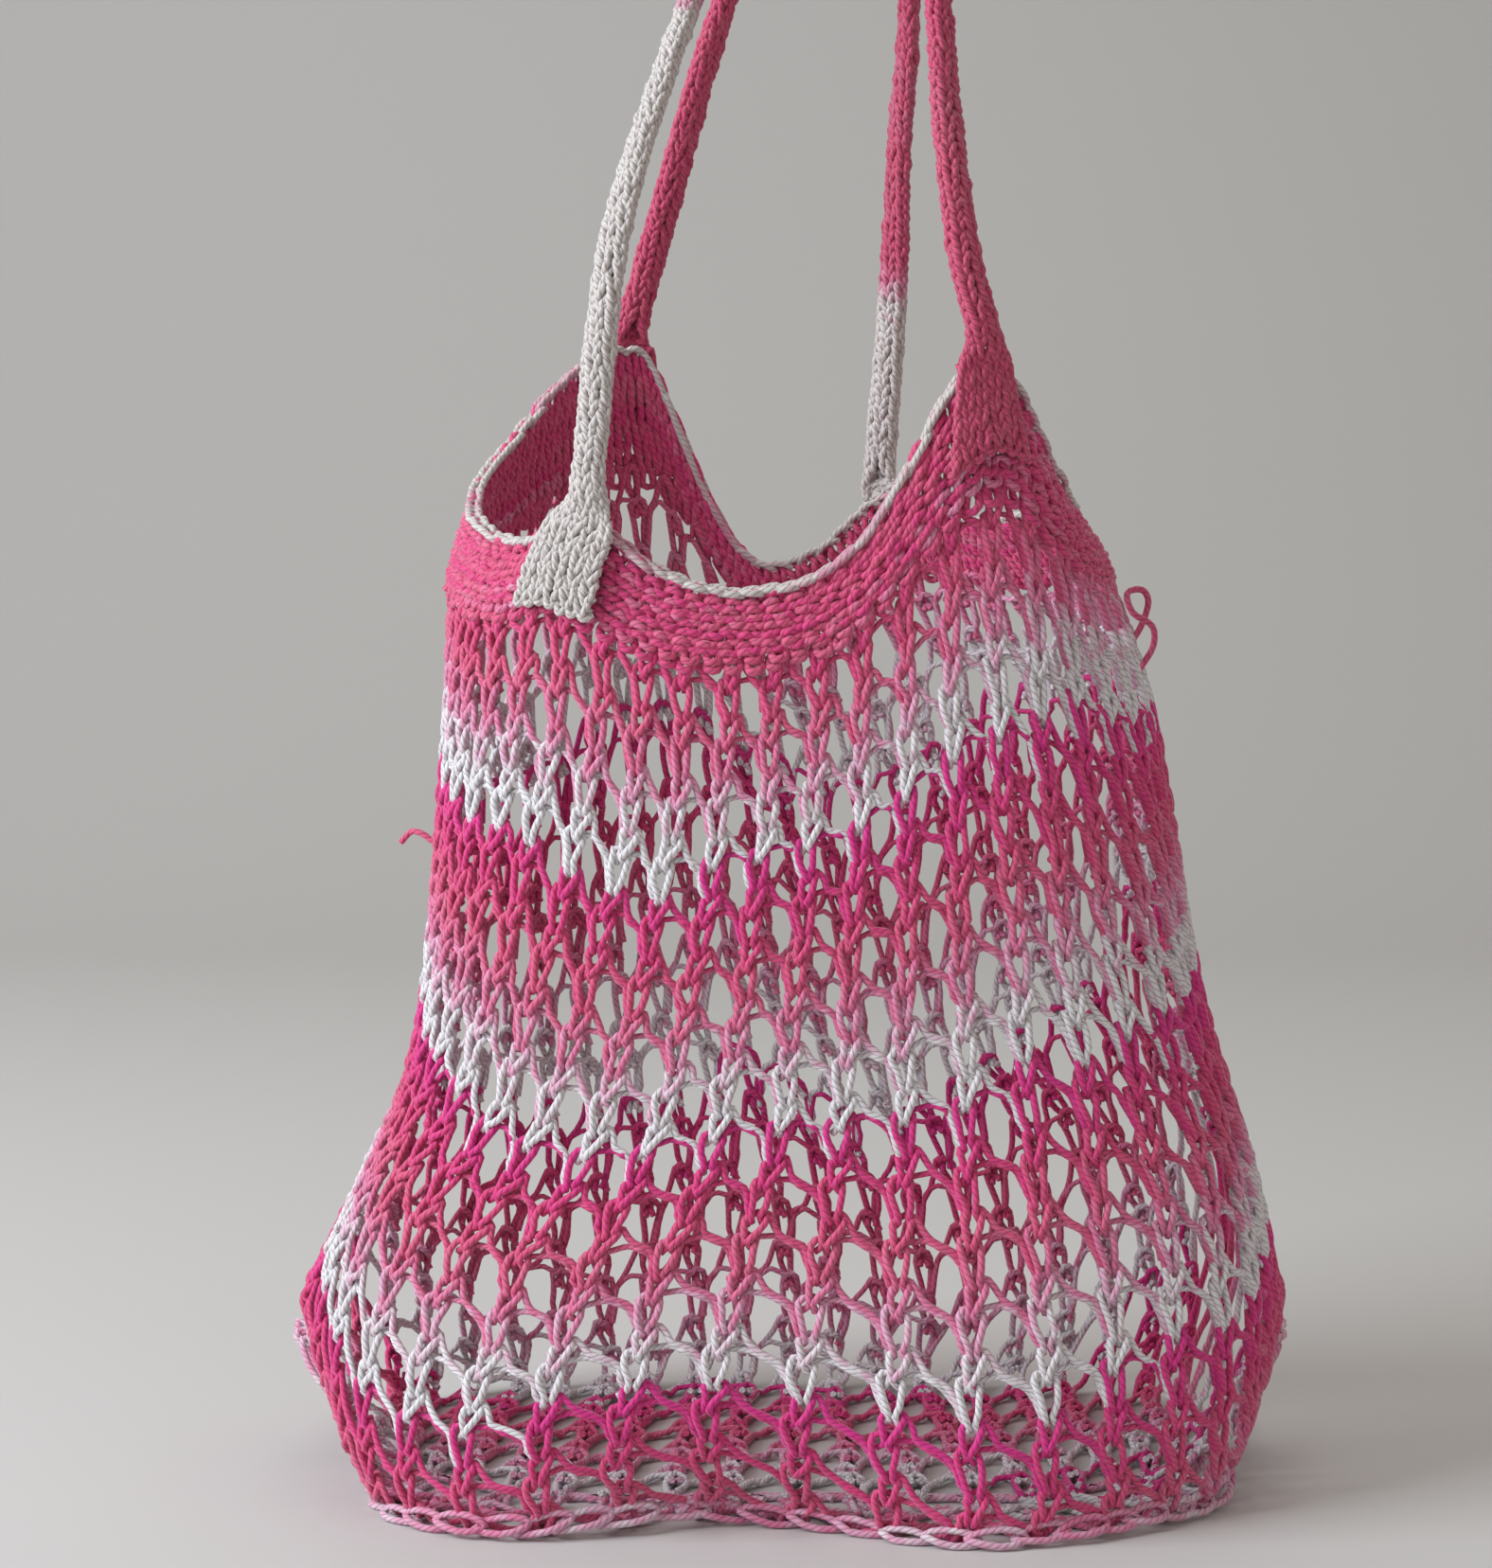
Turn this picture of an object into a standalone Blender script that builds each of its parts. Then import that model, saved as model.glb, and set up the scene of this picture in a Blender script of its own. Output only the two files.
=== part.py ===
"""A knitted string bag that stands full and upright on a table.

The bag is an open-mesh pouch knitted in the round, flat-seamed along its
bottom, with a dense purl band round the mouth.  Two knitted strap handles are
sewn to the band by their flattened ends and drawn up together.

Frame: metres, +Z up, front towards -Y, origin under the middle of the whole
bag's box on the surface that it stands on.  Sizes below are in millimetres,
are laid out round an axis a little in front of that origin, and are moved and
multiplied by MM where points are made.
"""

from math import cos, exp, pi, sin

import bpy
from mathutils import Vector

MM = 0.001

# From the axis that the sizes are laid out round to the frame's origin
FRAME_SHIFT = Vector((0.5, 8.9, 0.0))

# Counts.  The net is cut at twice the real pitch both ways.
NET_COLUMNS = 24
NET_ROWS = 9
WALES = 48
BAND_COLUMNS = 96
BAND_ROWS = 3

# Cloth sizes
NET_THICKNESS = 2.4
BAND_THICKNESS = 4.0
BAND_STANDS_PROUD = 0.8
BAND_GAP = 0.35
WALE_WIDTH = 8.5
LINK_WIDTH = 6.0
LINK_SLANT = 0.16
HOLE_CROWN = 0.10

# The bottom seam, a flat strip on the floor that rises to an ear at each end
SEAM_LEFT = -172.0
SEAM_RIGHT = 171.0
SEAM_Y = -66.0
EAR_Y = 8.0
EAR_HEIGHT = 44.0
EAR_STARTS = 0.70
SEAM_TURNS_BACK = 0.42
SEAM_BACK_POWER = 1.5
SEAM_PITCH = 21.0
SEAM_WIDTH_FLAT = 9.0
SEAM_WIDTH_EAR = 7.2
TIP_SHARE = 0.25

# Cross-sections of the bag from the mouth down.  Heights at the front, left,
# right and back, how sharply the side heights fade round the corner, how far
# the ears stick out, the plan's reach each way, the squareness of the plan,
# how narrow the back is, where the middle front wale stands, the wale pitch
# there, and how firmly the side wales keep to the ears.
SECTIONS = [
    {"name": "rim", "front": 303, "left": 326, "right": 330, "back": 302, "fade": 2, "ear": 0,
     "x_left": -110, "x_right": 96, "y_front": -84, "y_back": 76, "square": 2.7, "back_scale": 0.70,
     "anchor": 36, "pitch": 13.2, "hold": 0.0},
    {"name": "band", "front": 281, "left": 303, "right": 309, "back": 281, "fade": 2, "ear": 0,
     "x_left": -117, "x_right": 108, "y_front": -87, "y_back": 80, "square": 2.8, "back_scale": 0.78,
     "anchor": 36, "pitch": 14.2, "hold": 0.0},
    {"name": "upper", "front": 223, "left": 246, "right": 262, "back": 228, "fade": 2, "ear": 0,
     "x_left": -121, "x_right": 124, "y_front": -90, "y_back": 84, "square": 2.9, "back_scale": 0.88,
     "anchor": 36, "pitch": 15.4, "hold": 0.0},
    {"name": "waist", "front": 133, "left": 150, "right": 168, "back": 140, "fade": 2, "ear": 0,
     "x_left": -131, "x_right": 141, "y_front": -92, "y_back": 86, "square": 3.1, "back_scale": 0.95,
     "anchor": 36, "pitch": 20.0, "hold": 0.2},
    {"name": "hip", "front": 80, "left": 106, "right": 112, "back": 84, "fade": 2, "ear": 0,
     "x_left": -148, "x_right": 158, "y_front": -97, "y_back": 88, "square": 3.3, "back_scale": 1.0,
     "anchor": 33, "pitch": 24.5, "hold": 0.6},
    {"name": "belly", "front": 34, "left": 77, "right": 76, "back": 36, "fade": 9, "ear": 5,
     "x_left": -157, "x_right": 161, "y_front": -103, "y_back": 89, "square": 3.6, "back_scale": 1.0,
     "anchor": 30, "pitch": 26.5, "hold": 0.9},
    {"name": "floor", "front": 0, "left": 60, "right": 58, "back": 0, "fade": 24, "ear": 20,
     "x_left": -150, "x_right": 149, "y_front": -96, "y_back": 80, "square": 3.8, "back_scale": 1.0,
     "anchor": 28, "pitch": 26.5, "hold": 1.0},
]

# Bulges and dents of the lower front: section, middle, half width, how far forward
LOBES = [
    {"section": "hip", "x": -82, "width": 40, "forward": 4},
    {"section": "belly", "x": -92, "width": 36, "forward": 6},
    {"section": "floor", "x": -98, "width": 34, "forward": 9},
    {"section": "hip", "x": 62, "width": 45, "forward": 6},
    {"section": "belly", "x": 62, "width": 45, "forward": 9},
    {"section": "floor", "x": 60, "width": 42, "forward": 14},
    {"section": "belly", "x": -14, "width": 36, "forward": -2},
    {"section": "floor", "x": -20, "width": 40, "forward": -14},
]

# Where the four strap ends pull the mouth up: place round the bag, lift, reach
# before and after that place, how wide the sewn end still is at the rim, and
# how far down the band it comes
CORNERS = {
    "front_left": {"turn": 0.077, "lift": 17.0,
                   "before": 0.034, "after": 0.040, "top_width": 26.0, "low": 0.96},
    "front_right": {"turn": 0.288, "lift": 66.0,
                    "before": 0.052, "after": 0.052, "top_width": 21.0, "low": 0.66},
    "back_right": {"turn": 0.600, "lift": 25.0,
                   "before": 0.048, "after": 0.048, "top_width": 20.0, "low": 0.80},
    "back_left": {"turn": 0.760, "lift": 76.0,
                  "before": 0.048, "after": 0.105, "top_width": 17.0, "low": 0.66},
}
LIFT_SHARE = {"rim": 1.0, "band": 0.74, "upper": 0.45, "waist": 0.15}
LIFT_POWER = 1.9

# The middle front wale is a quarter turn from the left ear, and the wales fan
# out over this many wales on either side of it.
MIDDLE_TURN = 0.25
FAN_WALES = 11.0

# Straps: a flat sewn end, then a rolled strap
TAB_WIDTH = 28.0
TAB_THICKNESS = 2.6
TAB_CLEARANCE = 2.2
TAB_HIGH = 0.06
STRAP_WIDTH = 11.0
STRAP_THICKNESS = 7.0
STRAP_RUN_OUT = 12.0
STRAP_STATIONS = 40
TAB_STATIONS = 5

# How much of the strap's length it takes to roll up and to turn to the front
ROLL_SHARE = 0.040
TWIST_SHARE = 0.42

# Centre line of each strap between its tabs, from left to right
FRONT_ROUTE = [
    {"x": -58, "y": -77, "z": 411},
    {"x": -44, "y": -62, "z": 464},
    {"x": -31, "y": -46, "z": 503},
    {"x": -14, "y": -24, "z": 557},
    {"x": 12, "y": -11, "z": 590},
    {"x": 38, "y": -22, "z": 557},
    {"x": 45, "y": -44, "z": 503},
    {"x": 48, "y": -60, "z": 455},
    {"x": 53, "y": -73, "z": 411},
]
BACK_ROUTE = [
    {"x": -44, "y": 66, "z": 438},
    {"x": -30, "y": 51, "z": 486},
    {"x": -19, "y": 38, "z": 519},
    {"x": -5, "y": 20, "z": 566},
    {"x": 13, "y": 10, "z": 594},
    {"x": 34, "y": 20, "z": 562},
    {"x": 41, "y": 42, "z": 508},
    {"x": 38, "y": 55, "z": 460},
    {"x": 36, "y": 65, "z": 408},
]

CURVE_STEPS = 16
PLAN_STEPS = 720

# Small steps by which directions on the band and along a strap are found
TURN_STEP = 0.004
SHARE_STEP = 0.2
STRAP_STEP = 0.01

# How far out the rounded corners of a strap's eight-sided section stand
SECTION_SHOULDER = 0.62

# Material colours and roughness
PINK = (0.72, 0.13, 0.30, 1.0)
CRIMSON = (0.60, 0.07, 0.17, 1.0)
CREAM = (0.80, 0.76, 0.70, 1.0)
ROSE = (0.66, 0.16, 0.24, 1.0)
COTTON_ROUGHNESS = 0.85


def clear_scene():
    """Remove every object that the file starts with."""
    for thing in list(bpy.data.objects):
        bpy.data.objects.remove(thing, do_unlink=True)


def cotton(name, colour):
    """A plain cotton material."""
    material = bpy.data.materials.new(name)
    material.use_nodes = True
    shader = material.node_tree.nodes["Principled BSDF"]
    shader.inputs["Base Color"].default_value = colour
    shader.inputs["Roughness"].default_value = COTTON_ROUGHNESS
    shader.inputs["Metallic"].default_value = 0.0
    return material


def half_turn_wrap(turn):
    """A difference of turns, brought between -0.5 and 0.5."""
    return (turn + 0.5) % 1.0 - 0.5


def smooth(value):
    """Ease from 0 to 1."""
    value = min(max(value, 0.0), 1.0)
    return value * value * (3 - 2 * value)


def signed_power(value, power):
    """Raise the size of a value to a power and keep its sign."""
    return (1 if value >= 0 else -1) * abs(value) ** power


def fan_integral(wale):
    """How much extra spread lies between the middle front wale and this one."""
    if abs(wale) >= FAN_WALES:
        return FAN_WALES / 2 if wale > 0 else -FAN_WALES / 2
    return 0.5 * (wale + FAN_WALES / pi * sin(pi * wale / FAN_WALES))


def fan_terms(count, pitch, length):
    """The base pitch and extra spread that fit a count of wales into a length."""
    extra = (count * pitch - length) / (length - pitch * FAN_WALES)
    return pitch / (1 + extra), extra


def fan_reach(wale, count, pitch, length):
    """The length from the middle front wale to this one, for a count of wales all round."""
    base, extra = fan_terms(count, pitch, length)
    return base * (wale + extra * fan_integral(wale))


class Plan:
    """The plan outline of one section, measured round from the front middle."""

    def __init__(self, section):
        self.section = section
        self.points = []
        self.lengths = [0.0]
        self.trace()
        self.start = self.find_anchor()
        self.to_right = self.find_ear(0, PLAN_STEPS // 2) - self.start
        self.to_left = self.start + self.lengths[-1] - self.find_ear(PLAN_STEPS // 2, PLAN_STEPS)

    def trace(self):
        """Points of the outline and the length up to each of them."""
        section = self.section
        middle = 0.5 * (section["x_left"] + section["x_right"])
        half = 0.5 * (section["x_right"] - section["x_left"])
        power = 2 / section["square"]
        for step in range(PLAN_STEPS + 1):
            angle = -pi / 2 + 2 * pi * step / PLAN_STEPS
            across = cos(angle)
            along = sin(angle)
            x = half * signed_power(across, power)
            if along > 0:
                x *= 1 - (1 - section["back_scale"]) * along
                y = section["y_back"] * along ** power
            else:
                y = section["y_front"] * abs(along) ** power
            x += middle + signed_power(across, 1) * section["ear"] * abs(across) ** (section["fade"] - 1)
            for lobe in LOBES:
                if lobe["section"] == section["name"]:
                    bulge = lobe["forward"] * exp(-((x - lobe["x"]) / lobe["width"]) ** 2)
                    y -= bulge * max(-along, 0.0)
            self.points.append((x, y, angle))
            if step:
                last = self.points[-2]
                run = ((x - last[0]) ** 2 + (y - last[1]) ** 2) ** 0.5
                self.lengths.append(self.lengths[-1] + run)

    def find_anchor(self):
        """Length round to where the middle front wale stands."""
        for step in range(1, PLAN_STEPS):
            x = self.points[step][0]
            if x >= self.section["anchor"]:
                before = self.points[step - 1][0]
                share = (self.section["anchor"] - before) / (x - before)
                return self.lengths[step - 1] + share * (self.lengths[step] - self.lengths[step - 1])
        raise ValueError("the anchor lies outside the outline")

    def find_ear(self, first, last):
        """Length round to the ear, which is the step nearest the ear's depth."""
        if first:
            steps = [step for step in range(first, last) if self.points[step][0] < 0]
        else:
            steps = [step for step in range(first, last) if self.points[step][0] > 0]
        nearest = min(steps, key=lambda step: abs(self.points[step][1] - EAR_Y))
        return self.lengths[nearest]

    def eared_reach(self, wale):
        """The length to a wale when a quarter turn either way comes to an ear."""
        quarter = WALES / 4
        side = self.to_right if wale > 0 else self.to_left
        if abs(wale) <= quarter:
            return fan_reach(wale, 2 * quarter, self.section["pitch"], 2 * side)
        back = self.lengths[-1] - self.to_left - self.to_right
        beyond = side + back * (abs(wale) - quarter) / (2 * quarter)
        return beyond if wale > 0 else -beyond

    def at(self, turn):
        """The surface point of this section at a turn round the bag."""
        wale = half_turn_wrap(turn - MIDDLE_TURN) * WALES
        free = fan_reach(wale, WALES, self.section["pitch"], self.lengths[-1])
        eared = self.eared_reach(wale)
        reach = (self.start + free + (eared - free) * self.section["hold"]) % self.lengths[-1]
        low = 0
        high = PLAN_STEPS
        while high - low > 1:
            middle = (low + high) // 2
            if self.lengths[middle] <= reach:
                low = middle
            else:
                high = middle
        share = (reach - self.lengths[low]) / (self.lengths[high] - self.lengths[low])
        x, y, angle = (a + share * (b - a) for a, b in zip(self.points[low], self.points[high]))
        section = self.section
        side = section["left"] if cos(angle) < 0 else section["right"]
        face = section["front"] if sin(angle) < 0 else section["back"]
        weight = abs(cos(angle)) ** section["fade"]
        z = face * (1 - weight) + side * weight
        return Vector((x, y, z + corner_lift(turn) * LIFT_SHARE.get(section["name"], 0.0)))


def corner_lift(turn):
    """How far the strap ends pull the mouth up at a turn."""
    total = 0.0
    for corner in CORNERS.values():
        away = half_turn_wrap(turn - corner["turn"])
        reach = corner["after"] if away > 0 else corner["before"]
        total += corner["lift"] * exp(-(abs(away) / reach) ** LIFT_POWER)
    return total


def seam_point(turn):
    """The bottom seam: front and back halves run side by side from ear to ear."""
    turn = turn % 1.0
    front = turn <= 0.5
    share = 2 * turn if front else 2 - 2 * turn
    wale = (share - 0.5) * WALES / 2
    base, extra = fan_terms(WALES / 2, SEAM_PITCH, SEAM_RIGHT - SEAM_LEFT)
    x = SEAM_LEFT + base * (wale + WALES / 4 + extra * (fan_integral(wale) + FAN_WALES / 2))
    ends = min(share, 1 - share) * WALES / 2
    tip = SEAM_LEFT if share < 0.5 else SEAM_RIGHT
    x = tip + (x - tip) * (TIP_SHARE + (1 - TIP_SHARE) * smooth(ends - 1))
    out = abs(2 * (x - SEAM_LEFT) / (SEAM_RIGHT - SEAM_LEFT) - 1)
    rise = min(max((out - EAR_STARTS) / (1 - EAR_STARTS), 0.0), 1.0)
    back = min(max((out - SEAM_TURNS_BACK) / (1 - SEAM_TURNS_BACK), 0.0), 1.0)
    y = SEAM_Y + (EAR_Y - SEAM_Y) * back ** SEAM_BACK_POWER
    width = SEAM_WIDTH_FLAT + (SEAM_WIDTH_EAR - SEAM_WIDTH_FLAT) * back
    side = -0.5 if front else 0.5
    y += side * width * min(ends, 1.0)
    return Vector((x, y, EAR_HEIGHT * rise * rise))


def curve_point(before, start, end, after, share):
    """A point on the smooth curve through four points, between the middle two."""
    square = share * share
    cube = square * share
    return 0.5 * (2 * start + (end - before) * share + (2 * before - 5 * start + 4 * end - after) * square
                  + (3 * start - before - 3 * end + after) * cube)


def smooth_line(knots):
    """A dense line of points on the smooth curve through the knots."""
    ends = [2 * knots[0] - knots[1]] + knots + [2 * knots[-1] - knots[-2]]
    line = []
    for index in range(len(knots) - 1):
        for step in range(CURVE_STEPS):
            line.append(curve_point(*ends[index:index + 4], step / CURVE_STEPS))
    line.append(knots[-1].copy())
    return line


def point_along(line, share):
    """The point at a share of a line's length."""
    runs = [(b - a).length for a, b in zip(line, line[1:])]
    left = share * sum(runs)
    for index, run in enumerate(runs):
        if left <= run:
            return line[index].lerp(line[index + 1], left / run)
        left -= run
    return line[-1].copy()


class Bag:
    """The bag's outer surface, by the turn round it and the share down it."""

    def __init__(self):
        self.plans = [Plan(section) for section in SECTIONS]
        self.lines = {}

    def line(self, turn):
        """The dense line down the bag at a turn, never under the floor."""
        key = round(turn % 1.0, 6)
        if key not in self.lines:
            knots = [plan.at(key) for plan in self.plans]
            knots.append(seam_point(key))
            line = smooth_line(knots)
            for point in line:
                point.z = max(point.z, 0.0)
            self.lines[key] = line
        return self.lines[key]

    def band(self, turn, share):
        """A point on the band, from the rim at 0 to its lower edge at 1."""
        return point_along(self.line(turn)[:CURVE_STEPS + 1], share)

    def net(self, turn, share):
        """A point on the net, from the band at 0 to the seam at 1."""
        return point_along(self.line(turn)[CURVE_STEPS:], share)

    def band_gap(self, turn):
        """The share of the band's height that clears the net by BAND_GAP, square to the edge."""
        edge = self.band(turn + TURN_STEP, 1.0) - self.band(turn - TURN_STEP, 1.0)
        down = self.band(turn, 1.0) - self.band(turn, 0.0)
        return BAND_GAP * edge.length / edge.cross(down).length

    def band_normal(self, turn, share):
        """The outward direction on the band."""
        across = self.band(turn + TURN_STEP, share) - self.band(turn - TURN_STEP, share)
        below = self.band(turn, min(share + SHARE_STEP, 1.0))
        above = self.band(turn, max(share - SHARE_STEP, 0.0))
        down = below - above
        return down.cross(across).normalized()


def make_object(name, points, faces, material):
    """A mesh object from points in millimetres."""
    mesh = bpy.data.meshes.new(name)
    mesh.from_pydata([tuple((point + FRAME_SHIFT) * MM) for point in points], [], faces)
    mesh.validate()
    mesh.materials.append(material)
    thing = bpy.data.objects.new(name, mesh)
    bpy.context.scene.collection.objects.link(thing)
    mesh.shade_smooth()
    return thing


def hole_corners(bag, column, row):
    """The eight corners of one mesh hole, from its top left round by the top."""
    turn = column / NET_COLUMNS
    next_turn = (column + 1) / NET_COLUMNS
    top = row / NET_ROWS
    bottom = (row + 1) / NET_ROWS
    middle_share = 0.5 * (top + bottom)
    width = (bag.net(next_turn, middle_share) - bag.net(turn, middle_share)).length
    height = (bag.net(turn, bottom) - bag.net(turn, top)).length
    inset = 0.5 * WALE_WIDTH / width
    margin = 0.5 * LINK_WIDTH / height
    places = [
        (inset, margin),
        (0.5, margin + 0.5 * LINK_SLANT - HOLE_CROWN),
        (1 - inset, margin + LINK_SLANT),
        (1 - inset, 0.5),
        (1 - inset, 1 - margin),
        (0.5, 1 - margin - 0.5 * LINK_SLANT + HOLE_CROWN),
        (inset, 1 - margin - LINK_SLANT),
        (inset, 0.5),
    ]
    corners = []
    for across, down in places:
        spot = turn + across / NET_COLUMNS
        corners.append(bag.net(spot, (row + down) / NET_ROWS))
    return corners


def make_net(bag, material):
    """The mesh pouch: a cut sheet closed along its bottom seam, then thickened."""
    points = []
    faces = []
    grid = {}
    for row in range(NET_ROWS + 1):
        steps = BAND_COLUMNS if row == 0 else 2 * NET_COLUMNS
        for step in range(steps):
            grid[row, step * BAND_COLUMNS // steps] = len(points)
            points.append(bag.net(step / steps, row / NET_ROWS))
    wale_middle = {}
    for row in range(NET_ROWS):
        for column in range(NET_COLUMNS):
            wale_middle[row, column] = len(points)
            points.append(bag.net(column / NET_COLUMNS, (row + 0.5) / NET_ROWS))
    span = BAND_COLUMNS // NET_COLUMNS
    for row in range(NET_ROWS):
        pace = 1 if row == 0 else span // 2
        for column in range(NET_COLUMNS):
            first = column * span
            upper = [grid[row, (first + step) % BAND_COLUMNS] for step in range(0, span + 1, pace)]
            lower = [grid[row + 1, (first + step) % BAND_COLUMNS] for step in range(0, span + 1, span // 2)]
            left = wale_middle[row, column]
            right = wale_middle[row, (column + 1) % NET_COLUMNS]
            hole = list(range(len(points), len(points) + 8))
            points.extend(hole_corners(bag, column, row))
            middle = len(upper) // 2
            for index in range(middle - 1):
                faces.append((upper[index], hole[0], upper[index + 1]))
            faces.append((upper[middle - 1], hole[0], hole[1], upper[middle]))
            faces.append((upper[middle], hole[1], hole[2], upper[middle + 1]))
            for index in range(middle + 1, len(upper) - 1):
                faces.append((upper[index], hole[2], upper[index + 1]))
            faces.append((upper[-1], hole[2], hole[3], right))
            faces.append((right, hole[3], hole[4], lower[2]))
            faces.append((lower[2], hole[4], hole[5], lower[1]))
            faces.append((lower[1], hole[5], hole[6], lower[0]))
            faces.append((lower[0], hole[6], hole[7], left))
            faces.append((left, hole[7], hole[0], upper[0]))
    for step in range(0, BAND_COLUMNS // 2, span // 2):
        after = step + span // 2
        near = grid[NET_ROWS, step]
        near_next = grid[NET_ROWS, after]
        far = grid[NET_ROWS, (BAND_COLUMNS - step) % BAND_COLUMNS]
        far_next = grid[NET_ROWS, BAND_COLUMNS - after]
        ring = [near, far, far_next, near_next]
        faces.append(tuple(corner for index, corner in enumerate(ring) if corner not in ring[:index]))
    net = make_object("net_body", points, faces, material)
    shell = net.modifiers.new("thickness", "SOLIDIFY")
    shell.thickness = NET_THICKNESS * MM
    shell.offset = -1.0
    shell.use_even_offset = False
    return net


def make_band(bag, material):
    """The dense band round the mouth, a closed ring that waves up to its corners."""
    points = []
    faces = []
    around = BAND_ROWS + 1
    for column in range(BAND_COLUMNS):
        turn = column / BAND_COLUMNS
        lower = 1 - bag.band_gap(turn)
        for side in (BAND_STANDS_PROUD, BAND_STANDS_PROUD - BAND_THICKNESS):
            for row in range(around):
                share = lower * row / BAND_ROWS
                points.append(bag.band(turn, share) + side * bag.band_normal(turn, share))
    ring = 2 * around
    for column in range(BAND_COLUMNS):
        here = column * ring
        there = ((column + 1) % BAND_COLUMNS) * ring
        loop = list(range(around)) + list(range(ring - 1, around - 1, -1))
        for index, spot in enumerate(loop):
            after = loop[(index + 1) % ring]
            faces.append((here + spot, here + after, there + after, there + spot))
    return make_object("rim_band", points, faces, material)


def section_places():
    """The eight corners of a strap's section: across and outward, from -1 to 1."""
    shoulder = SECTION_SHOULDER
    return [(-1, 0), (-shoulder, 1), (0, 1), (shoulder, 1), (1, 0), (shoulder, -1), (0, -1), (-shoulder, -1)]


def tab_rings(bag, corner):
    """Sections of a strap's flat end, lying on the band, from its foot to the rim."""
    turn = CORNERS[corner]["turn"]
    pitch = (bag.band(turn + TURN_STEP, 0.5) - bag.band(turn - TURN_STEP, 0.5)).length / (2 * TURN_STEP)
    rings = []
    for station in range(TAB_STATIONS):
        rise = station / (TAB_STATIONS - 1)
        share = CORNERS[corner]["low"] + (TAB_HIGH - CORNERS[corner]["low"]) * rise
        width = TAB_WIDTH + (CORNERS[corner]["top_width"] - TAB_WIDTH) * rise
        ring = []
        for across, out in section_places():
            spot = turn + 0.5 * width * across / pitch
            normal = bag.band_normal(spot, share)
            lift = BAND_STANDS_PROUD + TAB_CLEARANCE + 0.5 * TAB_THICKNESS * (1 + out)
            ring.append(bag.band(spot, share) + lift * normal)
        rings.append(ring)
    return rings


def ring_frame(ring):
    """The middle of a section, its width direction and its outward direction."""
    middle = sum(ring, Vector()) / len(ring)
    across = (ring[4] - ring[0]).normalized()
    out = (ring[2] - ring[6]).normalized()
    return middle, across, out


def strap_rings(start, end, route):
    """Sections of the rolled strap between its two flat ends."""
    start_middle, start_across, start_out = ring_frame(start[-1])
    end_middle, end_across, end_out = ring_frame(end[-1])
    rise_start = (start_middle - ring_frame(start[-2])[0]).normalized()
    rise_end = (end_middle - ring_frame(end[-2])[0]).normalized()
    knots = [start_middle, start_middle + STRAP_RUN_OUT * rise_start]
    knots.extend(Vector((knot["x"], knot["y"], knot["z"])) for knot in route)
    knots.extend([end_middle + STRAP_RUN_OUT * rise_end, end_middle])
    line = smooth_line(knots)
    rings = []
    for station in range(1, STRAP_STATIONS):
        share = station / STRAP_STATIONS
        middle = point_along(line, share)
        ahead = point_along(line, min(share + STRAP_STEP, 1.0))
        behind = point_along(line, max(share - STRAP_STEP, 0.0))
        forward = (ahead - behind).normalized()
        to_top = smooth(min(share, 1 - share) / TWIST_SHARE)
        near_across = start_across if share < 0.5 else -end_across
        across = near_across.lerp(Vector((0, -1, 0)), to_top)
        across = (across - across.dot(forward) * forward).normalized()
        out = across.cross(forward)
        roll = smooth(min(share, 1 - share) / ROLL_SHARE)
        flat = (start[-1][4] - start[-1][0]).length if share < 0.5 else (end[-1][4] - end[-1][0]).length
        width = flat + (STRAP_WIDTH - flat) * roll
        thickness = TAB_THICKNESS + (STRAP_THICKNESS - TAB_THICKNESS) * roll
        middle = middle + 0.5 * (thickness - TAB_THICKNESS) * (1 - to_top) * out
        ring = []
        for side, face in section_places():
            ring.append(middle + 0.5 * width * side * across + 0.5 * thickness * face * out)
        rings.append(ring)
    return rings


def make_handle(bag, name, left, right, route, material):
    """One strap from its left sewn end over the top to its right sewn end."""
    start = tab_rings(bag, left)
    end = tab_rings(bag, right)
    middle = strap_rings(start, end, route)
    flipped = []
    for ring in reversed(end):
        flipped.append([ring[4], ring[3], ring[2], ring[1], ring[0], ring[7], ring[6], ring[5]])
    rings = start + middle + flipped
    points = [point for ring in rings for point in ring]
    size = len(rings[0])
    faces = []
    for index in range(len(rings) - 1):
        here = index * size
        for spot in range(size):
            after = (spot + 1) % size
            faces.append((here + spot, here + after, here + size + after, here + size + spot))
    faces.append(tuple(range(size - 1, -1, -1)))
    last = (len(rings) - 1) * size
    faces.append(tuple(range(last, last + size)))
    return make_object(name, points, faces, material)


def build():
    """Make the four pieces of the bag."""
    clear_scene()
    bag = Bag()
    make_net(bag, cotton("net_yarn", PINK))
    make_band(bag, cotton("band_yarn", CRIMSON))
    make_handle(bag, "handle_front", "front_left", "front_right", FRONT_ROUTE, cotton("front_strap_yarn", CREAM))
    make_handle(bag, "handle_back", "back_left", "back_right", BACK_ROUTE, cotton("back_strap_yarn", ROSE))


build()
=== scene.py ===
# %% [markdown]
# # A knitted string bag
# The bag is an open-mesh pouch with a dense band round its mouth and two knitted
# strap handles. On the real thing every hole, ridge and edge is one yarn that
# loops through itself, so the model is yarn too: each stitch is a small path
# on the bag's drape, and one Geometry Nodes tree turns the paths into yarn.
# A picture of stitches on a smooth shell would be lighter, but the holes would
# have no edges and the silhouette no knots.

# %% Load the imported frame
from math import pi, radians

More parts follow.
